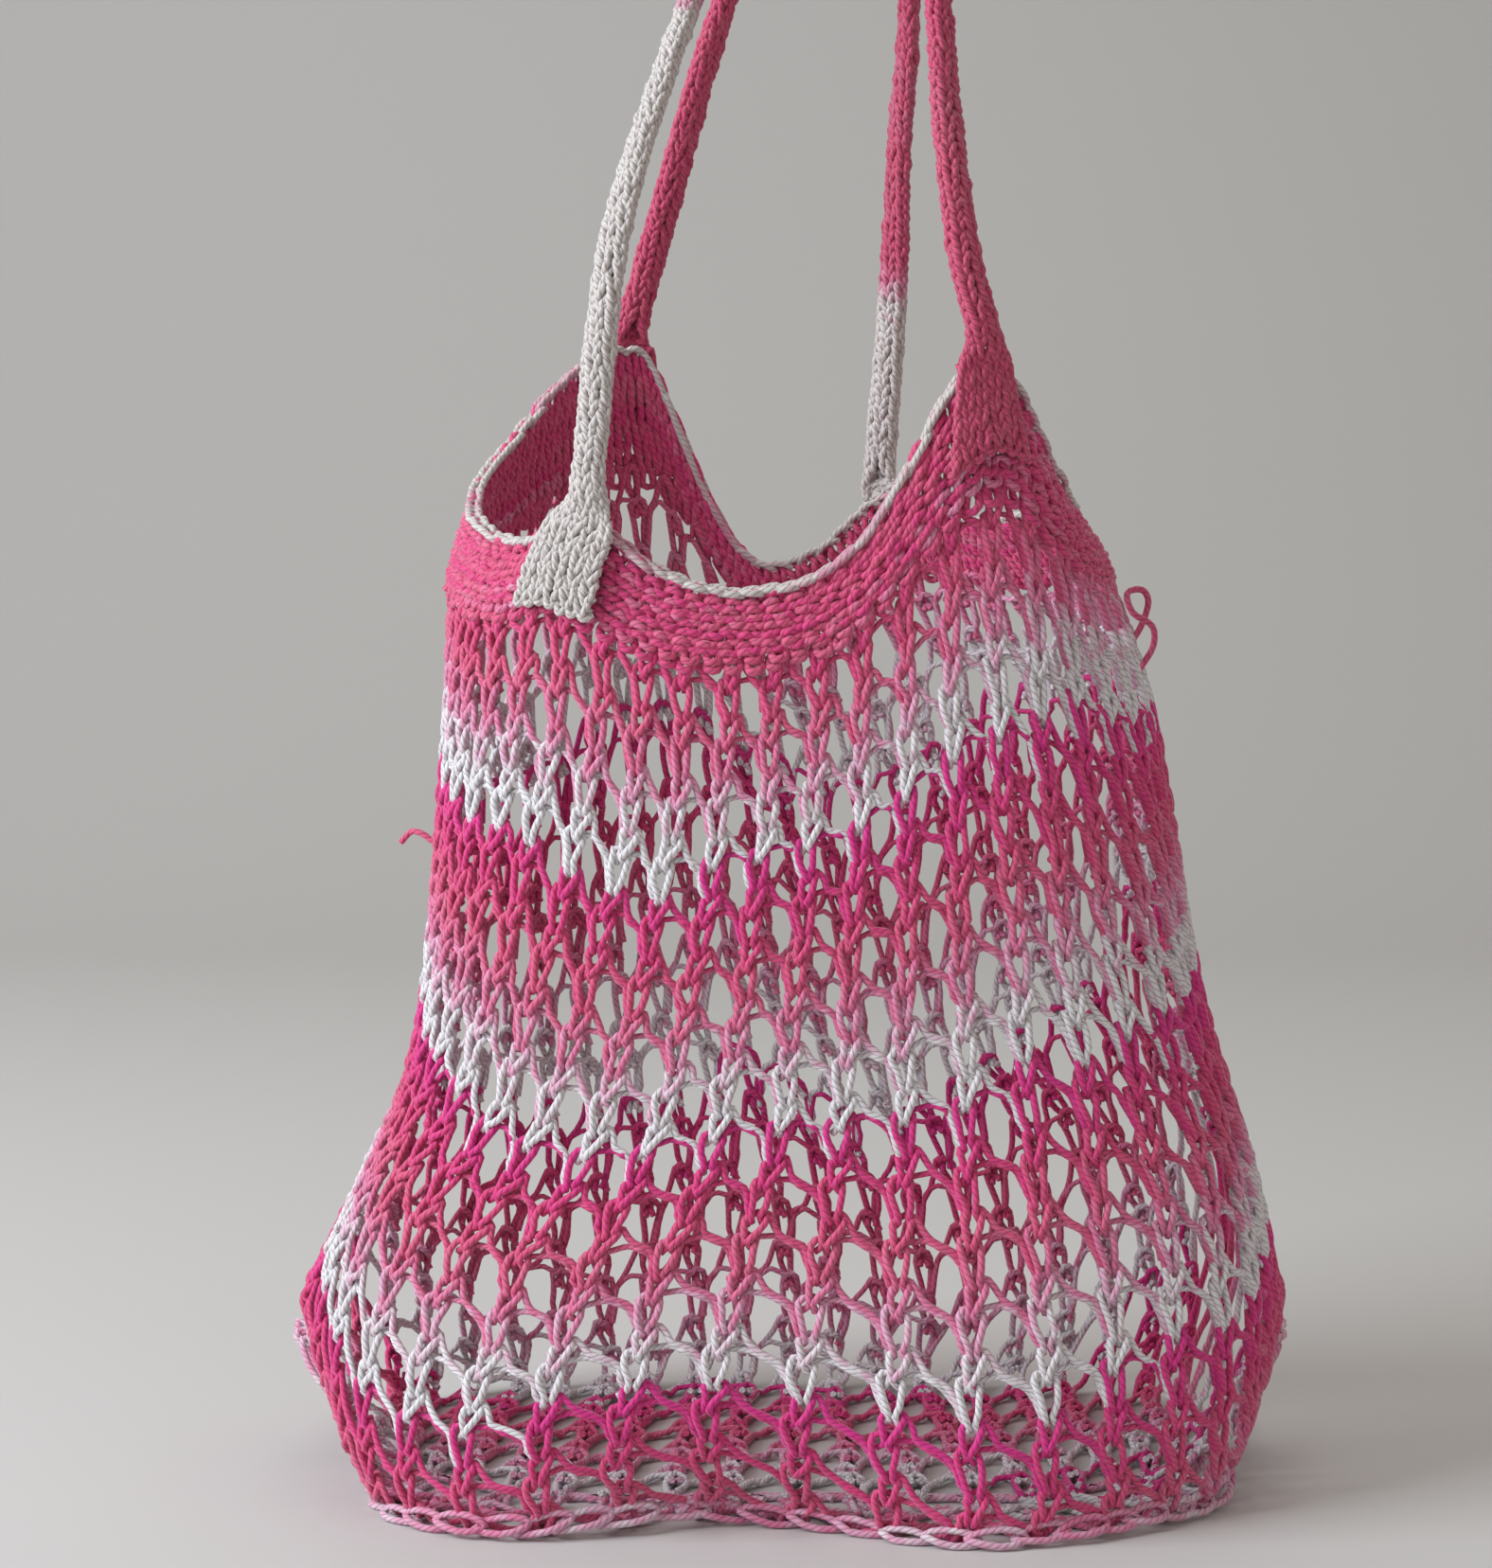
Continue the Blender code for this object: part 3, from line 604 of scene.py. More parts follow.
# %% The yarn tree
def make_yarn_tree():
    """Geometry Nodes: paths in, closed yarn tubes out."""
    tree = new_tree("yarn_from_paths", "GeometryNodeTree", [
        ("Geometry", "Geometry", "INPUT"), ("Thickness", "Float", "INPUT"),
        ("Sides", "Int", "INPUT"), ("Material", "Material", "INPUT"),
        ("Geometry", "Geometry", "OUTPUT")])

    def node(kind, inputs, **settings):
        """Add one of this tree's nodes."""
        return new_node(tree, "GeometryNode" + kind, inputs, **settings)

    def carried(name):
        """A number that the paths carry."""
        return node("InputNamedAttribute", {"Name": name}, data_type="FLOAT")["Attribute"]

    def kept(name, shape, value, data_type):
        """A shape that carries one more attribute."""
        return node("StoreNamedAttribute", {"Geometry": shape, "Name": name, "Value": value},
                    data_type=data_type, domain="POINT")["Geometry"]

    given = new_node(tree, "NodeGroupInput", {})
    curve = node("MeshToCurve", {"Mesh": given["Geometry"]})["Curve"]
    width = math_node(tree, "MULTIPLY", carried("width"), given["Thickness"])
    half = math_node(tree, "MULTIPLY", width, 0.5)
    curve = node("SetCurveRadius", {"Curve": curve, "Radius": half})["Curve"]
    length = node("SplineParameter", {})["Length"]
    curve = kept("along", curve, math_node(tree, "ADD", length, carried("skein")), "FLOAT")
    ring = node("CurvePrimitiveCircle", {"Radius": 1.0, "Resolution": given["Sides"]},
                mode="RADIUS")["Curve"]
    ring = kept("ring", ring, node("InputPosition", {})["Position"], "FLOAT_VECTOR")
    tube = node("CurveToMesh", {"Curve": curve, "Profile Curve": ring, "Scale": half,
                                "Fill Caps": True})["Mesh"]
    tube = node("SetShadeSmooth", {"Geometry": tube})["Geometry"]
    tube = node("RealizeInstances", {"Geometry": tube})["Geometry"]
    tube = node("SetMaterial", {"Geometry": tube, "Material": given["Material"]})["Geometry"]
    new_node(tree, "NodeGroupOutput", {"Geometry": tube})
    return tree


YARN_THICKNESS = 2.5
YARN_SIDES = 6
SKEIN_STEP = 0.0137
yarn_tree = make_yarn_tree()
yarn_sockets = {item.name: item.identifier for item in yarn_tree.interface.items_tree
                if item.in_out == "INPUT"}


class Paths:
    """Lines of points in millimetres, gathered for one piece of yarn."""

    def __init__(self):
        self.points, self.edges, self.count = [], [], 0
        self.values = {"width": [], "dye": [], "skein": []}

    def add(self, lines_of_points, width, dye):
        """Add an array of lines, with a width and a dye place for each line or point."""
        lines_count, length = lines_of_points.shape[:2]
        self.points.append(lines_of_points.reshape(-1, 3))
        index = self.count + np.arange(lines_count * length).reshape(lines_count, length)
        self.edges.append(np.stack([index[:, :-1], index[:, 1:]], axis=-1).reshape(-1, 2))
        skein = np.arange(lines_count) * SKEIN_STEP % 1.0
        for name, value in (("width", width), ("dye", dye), ("skein", skein)):
            value = np.asarray(value, dtype=float)
            if value.ndim == 1:
                value = value[:, None]
            self.values[name].append(np.broadcast_to(value, (lines_count, length)).reshape(-1))
        self.count += lines_count * length

    def spin(self, name, material):
        """Turn the paths into one mesh of yarn."""
        points = (np.concatenate(self.points) + FRAME_SHIFT) * MM
        edges = np.concatenate(self.edges)
        mesh = bpy.data.meshes.new(name + "_paths")
        mesh.vertices.add(len(points))
        mesh.vertices.foreach_set("co", points.astype(np.float32).ravel())
        mesh.edges.add(len(edges))
        mesh.edges.foreach_set("vertices", edges.astype(np.int32).ravel())
        for key, parts in self.values.items():
            layer = mesh.attributes.new(key, "FLOAT", "POINT")
            layer.data.foreach_set("value", np.concatenate(parts).astype(np.float32))
        mesh.update()
        guide = link(bpy.data.objects.new(name + "_paths", mesh))
        modifier = guide.modifiers.new("yarn", "NODES")
        modifier.node_group = yarn_tree
        modifier[yarn_sockets["Thickness"]] = YARN_THICKNESS * MM
        modifier[yarn_sockets["Sides"]] = YARN_SIDES
        modifier[yarn_sockets["Material"]] = material
        graph = bpy.context.evaluated_depsgraph_get()
        made = bpy.data.meshes.new_from_object(guide.evaluated_get(graph))
        made.name = name
        bpy.data.objects.remove(guide, do_unlink=True)
        piece = link(bpy.data.objects.new(name, made))
        triangles = sum(len(face.vertices) - 2 for face in made.polygons)
        print(name, len(edges), "path edges,", triangles, "triangles")
        return piece


def smooth_paths(control, steps):
    """Points at the given steps of the smooth curve through each row of controls."""
    first = 2 * control[:, :1] - control[:, 1:2]
    last = 2 * control[:, -1:] - control[:, -2:-1]
    padded = np.concatenate([first, control, last], axis=1)
    result = []
    for step in steps:
        index = min(int(step), control.shape[1] - 2)
        near = [padded[:, index + shift] for shift in range(4)]
        result.append(curve_between(*near, step - index))
    return np.stack(result, axis=1)


# %% [markdown]
# ## The mesh stitches
# Each wale is a chain of two kinds of V: one with a bulging left shoulder, and
# a crossed one whose long right leg runs in front. A thin pair of strands
# leaves behind the wale, sags across the hole and joins the next wale's left
# leg, which makes the holes slanted ovals. The paths below were laid out from
# one repeat and are placed on every wale and row.

# %% Paths of one mesh repeat: x in millimetres and in wale pitches, rows down, height
CROSSED_V = table("x row height", [
    (-3.0, 0.50, -3.6),
    (-1.6, 0.41, -2.3),
    (-1.9, 0.26, -1.5),
    (-2.4, 0.08, -1.5),
    (-2.3, -0.05, -2.4),
    (0.2, -0.13, -4.0),
    (2.9, -0.08, -2.5),
    (2.6, 0.05, -1.2),
    (1.0, 0.23, -0.9),
    (-0.6, 0.38, -1.3),
    (0.4, 0.50, -3.6),
])
SHOULDER_V = table("x row height", [
    (-2.6, 1.09, -3.6),
    (-1.0, 0.99, -1.8),
    (-1.9, 0.83, -1.3),
    (-3.5, 0.61, -1.2),
    (-4.4, 0.42, -1.6),
    (-3.8, 0.30, -2.7),
    (-1.0, 0.25, -4.0),
    (1.7, 0.36, -2.8),
    (1.9, 0.52, -1.5),
    (1.6, 0.74, -1.3),
    (0.8, 0.96, -1.6),
    (2.4, 1.09, -3.6),
])
LINK_STRAND = table("x pitch row height", [
    (0.8, 0.00, -0.16, -3.4),
    (3.0, 0.02, -0.10, -2.8),
    (4.2, 0.06, 0.06, -2.3),
    (3.8, 0.18, 0.21, -1.9),
    (2.0, 0.40, 0.31, -1.8),
    (-0.8, 0.68, 0.39, -1.9),
    (-4.9, 1.00, 0.55, -2.1),
    (-3.7, 1.00, 0.77, -2.1),
    (-2.2, 1.00, 0.93, -2.4),
    (-0.8, 1.00, 1.05, -3.6),
])
LINK_PARTNER = table("x pitch row height", [
    (-0.4, 0.00, 0.31, -4.0),
    (2.6, 0.00, 0.29, -3.6),
    (4.8, 0.06, 0.27, -3.0),
    (3.9, 0.20, 0.29, -2.8),
    (2.2, 0.44, 0.38, -1.3),
    (-0.6, 0.70, 0.47, -2.7),
    (-4.4, 1.00, 0.68, -3.0),
    (-2.9, 1.00, 0.86, -3.4),
])
CROSSED_STEPS = [0, 1, 1.6, 2.2, 2.8, 3.5, 4.2, 5, 5.8, 6.5, 7.1, 7.7, 8.3, 9, 10]
SHOULDER_STEPS = [0, 1, 1.7, 2.3, 2.9, 3.5, 4.2, 5, 6, 7, 7.7, 8.4, 9.1, 9.8, 11]
LINK_STEPS = [0, 1, 1.7, 2.4, 3, 3.7, 4.4, 5.1, 5.8, 6.4, 7, 8, 9]
PARTNER_STEPS = [0, 1, 2, 2.7, 3.4, 4, 4.6, 5.2, 6, 7]
STRANDS = table("knots steps width dye_row", [
    (CROSSED_V, CROSSED_STEPS, 1.0, 0.0),
    (SHOULDER_V, SHOULDER_STEPS, 1.0, 0.5),
    (LINK_STRAND, LINK_STEPS, 0.94, 0.0),
    (LINK_PARTNER, PARTNER_STEPS, 0.82, 0.5),
])
USUAL_PITCH = 19.0
NARROWING = 0.55
STITCH_SCALES = (0.72, 1.25)
DYE_ROWS = 4.75
DYE_FIRST_EDGE = 3.45
RING_RISE = 1.3
RISE_STARTS = 12.5
RISE_WALES = 5.0
FALL_STARTS = 27.0
FALL_WALES = 16.0
LOOSENESS = 0.35
LOOSE_HEIGHT = 0.5
LOOSE_ROW = 0.012
SWING = 0.55
SWING_WAVES = table("size by_row by_wale", [(1.0, 1.9, 2.4), (0.7, 0.83, 5.1)])

random = np.random.default_rng(7)


def columns_of(knots, *names):
    """Named columns of a table, each as one row of numbers, or 0."""
    return [np.array([knot.get(name, 0) for knot in knots])[None, :] for name in names]


def wale_swing(wale, row):
    """How far a wale wanders sideways, in millimetres, at each row."""
    return SWING * sum(wave["size"] * np.sin(wave["by_row"] * row + wave["by_wale"] * wale)
                       for wave in SWING_WAVES)


def place_repeat(knots, wale, row, steps):
    """The smooth yarn paths of one kind of strand, for arrays of wales and rows."""
    x, pitches, down, height = columns_of(knots, "x", "pitch", "row", "height")
    shape = (len(wale), len(knots))
    share = (row[:, None] + down) / MESH_ROWS
    turn_here = np.broadcast_to(wale[:, None] / WALES, shape)
    pitch = net_sheet.wale_pitch(turn_here, share)
    scale = np.clip((pitch / USUAL_PITCH) ** NARROWING, *STITCH_SCALES)
    wobble = random.normal(0, LOOSENESS, (*shape, 2))
    swing = wale_swing(wale[:, None] + pitches, row[:, None] + down)
    turn = (wale[:, None] + pitches + (x * scale + swing + wobble[..., 0]) / pitch) / WALES
    height = np.broadcast_to(height, shape) + wobble[..., 1] * LOOSE_HEIGHT
    share = share + wobble[..., 1] * LOOSE_ROW / MESH_ROWS
    return smooth_paths(net_sheet.place(turn, share, height), steps)


def dye_at(wale, row):
    """Where a stitch falls in the dye: the yarn climbs half a mesh row each round."""
    rise = smooth((wale - RISE_STARTS) / RISE_WALES)
    rise = rise - smooth((wale - FALL_STARTS) / FALL_WALES)
    rounds = row + 0.5 * (wale / WALES - MIDDLE_TURN) + RING_RISE * rise
    return ((rounds - DYE_FIRST_EDGE) / DYE_ROWS) % 1.0


# %% Loose ends, by wale and row, with millimetres off the cloth
LOOSE_LOOP = table("wale row height", [
    (19.9, 1.30, -2.0),
    (20.1, 1.10, 3.0),
    (20.0, 0.75, 8.0),
    (19.9, 0.50, 7.5),
    (19.7, 0.45, 2.5),
    (19.6, 0.80, 2.0),
    (19.8, 1.15, 6.5),
    (19.9, 1.50, 4.5),
    (19.8, 1.80, -2.0),
])
LOOSE_TAIL = table("wale row height", [
    (-2.2, 4.60, -3.0),
    (-2.4, 4.45, 1.5),
    (-2.5, 4.30, 5.5),
    (-2.6, 4.25, 9.5),
    (-2.6, 4.45, 13.0),
])
LOOSE_STEP = 0.25
LOOSE_WIDTH = 0.9
LOOSE_DYE = 0.45


def loose_end(knots):
    """One smooth loose yarn near the cloth."""
    wale, row, height = columns_of(knots, "wale", "row", "height")
    control = net_sheet.place(wale / WALES, row / MESH_ROWS, height)
    steps = np.arange(0, len(knots) - 1 + LOOSE_STEP, LOOSE_STEP)
    return smooth_paths(control, steps)


# %% Knit the net in four quarters
QUARTER_WALES = WALES // 4
QUARTERS = table("name first ends", [
    ("net_front_left", 0, []),
    ("net_front_right", 12, [LOOSE_LOOP]),
    ("net_back_right", 24, []),
    ("net_back_left", 36, [LOOSE_TAIL]),
])
net_pieces = []
for quarter in QUARTERS:
    wales = np.arange(quarter["first"], quarter["first"] + QUARTER_WALES)
    wale, row = (part.ravel().astype(float) for part in np.meshgrid(wales, range(MESH_ROWS)))
    yarn = Paths()
    for strand in STRANDS:
        made = place_repeat(strand["knots"], wale, row, strand["steps"])
        widths = np.full(len(wale), strand["width"])
        yarn.add(made, widths, dye_at(wale, row + strand["dye_row"]))
    for knots in quarter["ends"]:
        yarn.add(loose_end(knots), np.array([LOOSE_WIDTH]), np.array([LOOSE_DYE]))
    net_pieces.append(yarn.spin(quarter["name"], net_yarn))

# %% [markdown]
# ## The band
# Above the net the bag is worked plain, with the purl side out: rows of little
# arcs that lock into each other and draw the mouth in. One loop formula gives
# every row, and each stitch gets its own little slack, as from a hand. A bump
# would look flat at the rim. The top edge is a cast-off chain in cream yarn,
# its colour darkened as painted shade.

# %% Purl rows round the mouth
BAND_STITCHES = 96
BAND_ROUNDS = 8
LOOP_POINTS = 12
LOOP_LEAN = 0.19
BAND_MIDDLE = -1.1
BAND_TOP_SPACE = 0.85
BAND_FOOT_SPACE = 0.15
ROUND_STARTS = 44
ROUND_STEP = 5
BAND_SLACK = {"turn": 0.12, "reach": 0.14, "row": 0.10, "height": 0.35}
BAND_JITTER = 0.12
BAND_WIDTH = 1.12
WIDTH_BY_REACH = 0.3
TONE_MIDDLE = 0.27
TONE_BY_ROUND = 0.10
TONE_ROUND_STEP = 2.1
TONE_BY_TURN = 0.12
TONE_WAVES = 5
PALE_ROUNDS = (2, 6)
PALER = 0.24
BAND_TONES = (0.22, 0.62)


def loop_wave(stitches, points, lean):
    """Across, up and out of a row of knitted loops, from sinker to sinker."""
    angle = -pi + 2 * pi * np.arange(stitches * points + 1) / points
    across = angle / (2 * pi) + lean * np.sin(2 * angle) + 0.5
    return across, np.cos(angle), np.cos(2 * angle)


def uneven(points, stitches, amount):
    """A smooth random line with one value for each stitch."""
    centres = np.arange(stitches + 1) * LOOP_POINTS
    return np.interp(np.arange(points), centres, random.normal(0, amount, stitches + 1))


def band_tone(round_index, turn):
    """Where a round of the band falls in the dye at each turn."""
    tone = (TONE_MIDDLE + TONE_BY_ROUND * np.sin(round_index * TONE_ROUND_STEP)
            + TONE_BY_TURN * np.sin(2 * pi * turn * TONE_WAVES + 2 * round_index))
    if round_index in PALE_ROUNDS:
        tone = tone + PALER
    return np.clip(tone, *BAND_TONES)


across, up, out = loop_wave(BAND_STITCHES, LOOP_POINTS, LOOP_LEAN)
band_yarns = Paths()
for round_index in range(BAND_ROUNDS):
    slack = {name: uneven(len(across), BAND_STITCHES, amount)
             for name, amount in BAND_SLACK.items()}
    start = ROUND_STARTS + ROUND_STEP * round_index
    turn = (start + across + slack["turn"])[None, :] / BAND_STITCHES
    middle = (round_index + BAND_TOP_SPACE) / (BAND_ROUNDS + BAND_FOOT_SPACE)
    reach = (1 + slack["reach"]) * up + slack["row"]
    height = (BAND_MIDDLE + out + slack["height"])[None, :]
    made = band_sheet.place(turn, middle - reach[None, :] / BAND_ROUNDS, height)
    made = made + random.normal(0, BAND_JITTER, turn.shape + (3,))
    widths = BAND_WIDTH + WIDTH_BY_REACH * slack["reach"][None, :]
    band_yarns.add(made, widths, band_tone(round_index, turn))
band_piece = band_yarns.spin("band_rows", band_yarn)

# %% The cast-off chain along the rim
CHAIN_LINKS = 104
CHAIN_LEG = table("along up out", [
    (-0.15, -1.2, -1.4),
    (0.10, 0.5, -2.2),
    (0.60, 1.3, -2.5),
    (1.05, 0.8, -2.0),
    (1.25, -0.9, -1.6),
    (1.05, -0.6, 0.3),
    (0.60, -0.5, 0.9),
    (0.10, -0.2, 0.2),
    (-0.15, -0.8, -1.2),
])
CHAIN_STEPS = [0, 0.7, 1.3, 2, 2.6, 3.3, 4, 4.7, 5.4, 6, 6.7, 7.3, 8]
CHAIN_LIFT = 0.9
CHAIN_JITTER = 0.35
CHAIN_WIDTH = 0.98
CHAIN_TONE = (0.83, 0.10, 0.5)


def chain_paths(sheet, links_count, knots, edge_share, lift, turns):
    """Chain links that lie along an edge of a sheet."""
    along, up, out = columns_of(knots, "along", "up", "out")
    span = turns[1] - turns[0]
    start = turns[0] + span * np.arange(links_count)[:, None] / links_count
    turn = start + along * span / links_count
    height = np.interp(turn.ravel() % 1.0, grid_turn, sheet.height, period=1.0)
    share = edge_share - (lift + up) / height.reshape(turn.shape)
    made = sheet.place(turn, share, np.broadcast_to(out, turn.shape))
    return smooth_paths(made, CHAIN_STEPS)


def chain_tone(links_count, tone):
    """A slow wave in the dye from link to link: its middle, size and step."""
    return tone[0] + tone[1] * np.sin(np.arange(links_count) * tone[2])


chain = Paths()
made = chain_paths(band_sheet, CHAIN_LINKS, CHAIN_LEG, 0.0, CHAIN_LIFT, (0.0, 1.0))
made = made + random.normal(0, CHAIN_JITTER, (CHAIN_LINKS, 1, 3))
chain.add(made, np.full(CHAIN_LINKS, CHAIN_WIDTH), chain_tone(CHAIN_LINKS, CHAIN_TONE))
# The chain takes the straps' yarn: cream, with painted shade.
chain_piece = chain.spin("band_chain_edge", strap_yarn)

# %% [markdown]
# ## The straps
# A strap is a knitted strip five stitches wide. Its two ends lie flat on the
# band, where small loops sew them down, and in between the strip curls into a
# soft round strap, because plain knitting rolls towards its back. The strip's
# grid goes from flat to rolled, and the same loop formula knits it. A swept
# round cord would be simpler, but it has no flat ends and no columns of V's.

# %% The strip's centre line and sections
BAND_STANDS_PROUD = 0.8
TAB_WIDTH = 28.0
TAB_THICKNESS = 2.6
TAB_CLEARANCE = 2.2
TAB_HIGH = 0.06
STRAP_WIDTH = 11.0
STRAP_THICKNESS = 7.0
STRAP_RUN_OUT = 12.0
ROLL_SHARE = 0.040
TWIST_SHARE = 0.42
FRONT_ROUTE = [(-58, -77, 411), (-44, -62, 464), (-31, -46, 503), (-14, -24, 557),
               (12, -11, 590), (38, -22, 557), (45, -44, 503), (48, -60, 455), (53, -73, 411)]
BACK_ROUTE = [(-44, 66, 438), (-30, 51, 486), (-19, 38, 519), (-5, 20, 566),
              (13, 10, 594), (34, 20, 562), (41, 42, 508), (38, 55, 460), (36, 65, 408)]
TAB_STATIONS = 13
STRAP_STATIONS = 150
STRIP_PLACES = np.linspace(-1, 1, 21)
STRIP_CORE = slice(5, 16)
ROUTE_STEP = 1 / 24
SLOPE_OVER = 4
AIM_SHARE = 0.01


def unit(vector):
    """Vectors of length one."""
    return vector / (np.linalg.norm(vector, axis=-1, keepdims=True) + 1e-12)


def length_along(line):
    """The length of a line up to each of its points."""
    return np.concatenate([[0], np.cumsum(np.linalg.norm(np.diff(line, axis=0), axis=1))])


def tab_grid(corner):
    """Points of a strap's flat end on the band, from its foot to the rim."""
    end = CORNERS[corner]
    round_length = band_sheet.wale_pitch(np.array([end["turn"]]), np.array([0.5]))[0] * WALES
    lift = np.full(len(STRIP_PLACES), BAND_STANDS_PROUD + TAB_CLEARANCE + 0.5 * TAB_THICKNESS)
    rows = []
    for station in range(TAB_STATIONS):
        rise = station / (TAB_STATIONS - 1)
        share = end["low"] + (TAB_HIGH - end["low"]) * rise
        width = TAB_WIDTH + (end["top_width"] - TAB_WIDTH) * rise
        spots = end["turn"] + 0.5 * (width - YARN_THICKNESS) * STRIP_PLACES / round_length
        rows.append(band_sheet.place(spots, np.full(len(spots), share), lift))
    return np.array(rows)


def tab_top(tab):
    """The middle, way across, way up and width of a tab's top edge."""
    middle = tab[-1].mean(axis=0)
    across = tab[-1, -1] - tab[-1, 0]
    rise = unit(middle - tab[-SLOPE_OVER].mean(axis=0))
    return middle, unit(across), rise, np.linalg.norm(across)


def strip_grid(left, right, route):
    """The whole strip, as stations along by places across."""
    start = tab_grid(left)
    end = tab_grid(right)
    start_middle, start_across, start_rise, start_width = tab_top(start)
    end_middle, end_across, end_rise, end_width = tab_top(end)
    knots = np.array([start_middle, start_middle + STRAP_RUN_OUT * start_rise, *route,
                      end_middle + STRAP_RUN_OUT * end_rise, end_middle])
    line = smooth_paths(knots[None], np.arange(0, len(knots) - 1 + 1e-6, ROUTE_STEP))[0]
    reach = length_along(line)
    rings = []
    for station in range(1, STRAP_STATIONS):
        share = station / STRAP_STATIONS
        at = [np.interp(np.clip(share + d, 0, 1) * reach[-1], reach, line[:, axis])
              for d in (-AIM_SHARE, 0, AIM_SHARE) for axis in range(3)]
        behind, middle, ahead = np.array(at).reshape(3, 3)
        forward = unit(ahead - behind)
        near = min(share, 1 - share)
        to_top = float(smooth(near / TWIST_SHARE))
        side = start_across if share < 0.5 else -end_across
        across_way = side * (1 - to_top) + np.array([0, -1, 0]) * to_top
        across_way = unit(across_way - across_way.dot(forward) * forward)
        out_way = np.cross(across_way, forward)
        roll = float(smooth(near / ROLL_SHARE))
        flat = start_width if share < 0.5 else end_width
        thickness = TAB_THICKNESS + (STRAP_THICKNESS - TAB_THICKNESS) * roll
        middle = middle + 0.5 * (thickness - TAB_THICKNESS) * (1 - to_top) * out_way
        angle = pi * STRIP_PLACES
        round_x = 0.5 * (STRAP_WIDTH - YARN_THICKNESS) * np.sin(angle)
        x = 0.5 * flat * STRIP_PLACES * (1 - roll) + round_x * roll
        y = 0.5 * (STRAP_THICKNESS - YARN_THICKNESS) * np.cos(angle) * roll
        rings.append(middle + x[:, None] * across_way + y[:, None] * out_way)
    return np.concatenate([start, np.array(rings), end[::-1, ::-1]])


class Strip:
    """A strap's cloth by the length along it and the place across it."""

    def __init__(self, grid):
        self.grid = grid
        self.reach = length_along(grid[:, STRIP_CORE].mean(axis=1))
        across_way = np.gradient(grid, axis=1)
        along_way = np.gradient(grid, axis=0)
        self.normals = unit(np.cross(across_way, along_way))

    def place(self, length, place, height):
        """Points at a length along, a place from -1 to 1 across and a height off."""
        station = np.interp(length, self.reach, np.arange(len(self.reach)))
        column = (np.clip(place, -1, 1) + 1) / 2 * (self.grid.shape[1] - 1)
        point, out_way = (between(part, station, column) for part in (self.grid, self.normals))
        return point + unit(out_way) * height[..., None]


# %% Knit the two straps
STRAP_COLUMNS = 5
STRAP_ROW = 3.7
STRAP_POINTS = 12
STRAP_LEAN = 0.28
STRAP_REACH = 1.05
STRAP_DEPTH = 0.85
STRAP_SLACK = (0.42, 0.045, 0.30)
STRAP_YARN_WIDTH = 0.96
SEWING_LOOPS = [
    (-1.00, -0.66, 2.6), (-0.72, -0.40, 3.2), (-0.44, -0.14, 2.8), (-0.18, 0.16, 3.4),
    (0.12, 0.44, 4.4), (0.40, 0.70, 3.6), (0.66, 1.00, 2.8),
]
SEWING_POINTS = 5
SEWING_STEPS = np.arange(0, 4.01, 0.4)
SEWING_STARTS = 1.5
SEWING_LIFT = 0.2
SEWING_DIVE = 1.6


def sewing_loops(strip, edge, inner):
    """Small loops that sew a strap's end to the band."""
    foot = strip.grid[edge]
    down = unit(foot - strip.grid[inner])
    bend = np.sin(pi * np.linspace(0, 1, SEWING_POINTS))[:, None]
    loops = []
    for first, last, drop in SEWING_LOOPS:
        spots = np.linspace(first, last, SEWING_POINTS)
        at = [np.stack([np.interp(spots, STRIP_PLACES, part) for part in parts.T], axis=1)
              for parts in (foot, down, strip.normals[edge])]
        loops.append(at[0] + at[1] * (drop * bend - SEWING_STARTS)
                     + at[2] * (SEWING_LIFT - SEWING_DIVE * (1 - bend)))
    return smooth_paths(np.array(loops), SEWING_STEPS)


def knit_strap(name, left, right, route, tones):
    """Rows of loops with their knit side out, along one strip."""
    strip = Strip(strip_grid(left, right, route))
    total = strip.reach[-1]
    rows_count = int(total / STRAP_ROW)
    across, up, out = loop_wave(STRAP_COLUMNS, STRAP_POINTS, STRAP_LEAN)
    row = np.arange(rows_count)[:, None]
    length = (row + 0.5 + STRAP_REACH * up[None, :]) * total / rows_count
    place = np.broadcast_to(2 * across[None, :] / STRAP_COLUMNS - 1, length.shape)
    height = np.broadcast_to(-STRAP_DEPTH * out[None, :], length.shape)
    knots = np.linspace(0, across.size - 1, 2 * STRAP_COLUMNS + 1)
    drawn = random.normal(0, 1, (3, rows_count, len(knots)))
    slack = np.array([[size * np.interp(np.arange(across.size), knots, line) for line in part]
                      for size, part in zip(STRAP_SLACK, drawn)])
    made = strip.place(length + slack[0], place + slack[1], height + slack[2])
    tone = np.interp((np.arange(rows_count) + 0.5) / rows_count, tones["share"], tones["dye"])
    yarn = Paths()
    yarn.add(made, np.full(rows_count, STRAP_YARN_WIDTH), tone)
    for edge, inner, colour in ((0, 3, tone[:1]), (-1, -4, tone[-1:])):
        for loop in sewing_loops(strip, edge, inner):
            yarn.add(loop[None], np.array([1.0]), colour)
    print(name, "strip", round(float(total)), "mm long,", rows_count, "rows")
    return yarn.spin(name, strap_yarn)


FRONT_TONES = {"share": [0.0, 0.335, 0.36, 0.50, 0.62, 0.80, 1.0],
               "dye": [0.90, 0.88, 0.52, 0.25, 0.08, 0.45, 0.40]}
BACK_TONES = {"share": [0.0, 0.40, 0.50, 0.70, 0.80, 0.83, 1.0],
              "dye": [0.38, 0.42, 0.20, 0.50, 0.40, 0.84, 0.90]}
strap_front = knit_strap("strap_front", "front_left", "front_right", FRONT_ROUTE, FRONT_TONES)
strap_back = knit_strap("strap_back", "back_left", "back_right", BACK_ROUTE, BACK_TONES)

# %% [markdown]
# ## The bottom seam
# The cast-on edge is closed flat. Its loose chain shows where the net meets the
# floor in front, and runs up to the two ears.

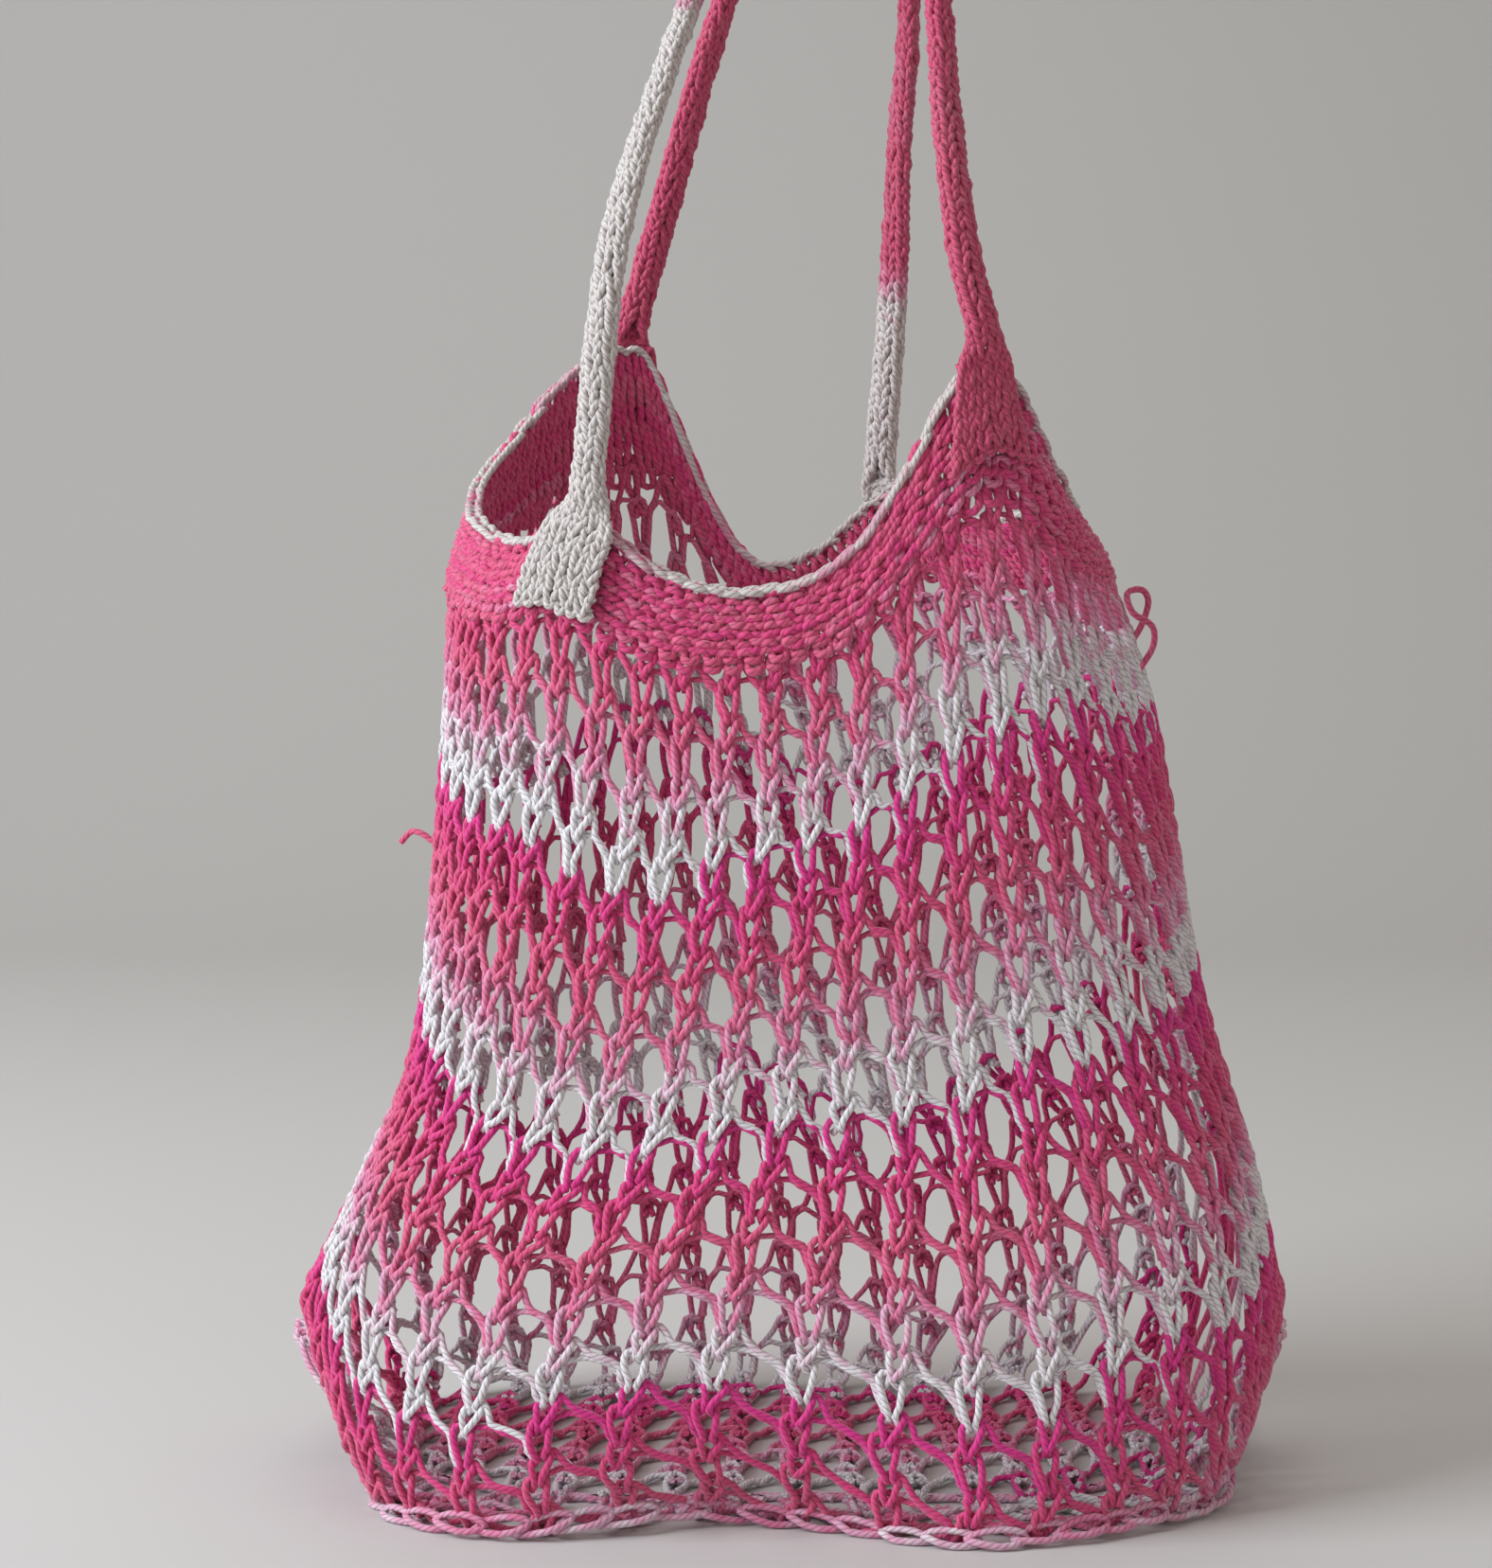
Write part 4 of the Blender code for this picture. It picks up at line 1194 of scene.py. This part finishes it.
# %% Seam chain
SEAM_LINKS = 44
SEAM_SWELL = 1.45
SEAM_SINKS_TO = 5.0
SEAM_EASE = 25
SEAM_OUT = 2.4
SEAM_LIFT = 1.0
SEAM_JITTER = 0.55
SEAM_LOWEST = 1.3
SEAM_YARN_WIDTH = 0.95
SEAM_TONE = (0.70, 0.05, 0.9)
SEAM_LEG = [{"along": knot["along"], "up": knot["up"] * SEAM_SWELL,
             "out": knot["out"] * SEAM_SWELL + SEAM_OUT} for knot in CHAIN_LEG]

low = net_sheet.points[:, :, 2] < SEAM_SINKS_TO
first_low = np.where(low.any(axis=1), low.argmax(axis=1), NET_STEPS - 1) / (NET_STEPS - 1)
first_low = np.where(grid_turn <= 0.5, first_low, 1.0)
around = np.concatenate([first_low[-SEAM_EASE:], first_low, first_low[:SEAM_EASE]])
seam_line = np.convolve(around, np.ones(SEAM_EASE) / SEAM_EASE, "same")[SEAM_EASE:-SEAM_EASE]
seam = Paths()
for turns in ((0.0, 0.5), (0.5, 1.0)):
    start = turns[0] + (turns[1] - turns[0]) * np.arange(SEAM_LINKS) / SEAM_LINKS
    edge = np.interp(start, grid_turn, seam_line, period=1.0)[:, None]
    made = chain_paths(net_sheet, SEAM_LINKS, SEAM_LEG, edge, SEAM_LIFT, turns)
    made = made + random.normal(0, SEAM_JITTER, (SEAM_LINKS, 1, 3))
    made[..., 2] = np.maximum(made[..., 2], SEAM_LOWEST)
    seam.add(made, np.full(SEAM_LINKS, SEAM_YARN_WIDTH), chain_tone(SEAM_LINKS, SEAM_TONE))
seam_piece = seam.spin("seam_chain", net_yarn)

# %% [markdown]
# ## The pieces on the body
# Every piece moves with the one body of the bag and stands for the solid that
# it dresses, which is hidden. The four quarters of the net are 12 wales by 17
# rows each. The band, the chains and the straps go with the net.

# %% Bodies, with the solids hidden
for piece in net_pieces:
    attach(piece, "root")
    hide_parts("net_body")
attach(seam_piece, "root")
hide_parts("net_body")
for piece in (band_piece, chain_piece):
    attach(piece, "root")
    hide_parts("rim_band")
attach(strap_front, "root")
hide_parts("handle_front")
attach(strap_back, "root")
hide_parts("handle_back")
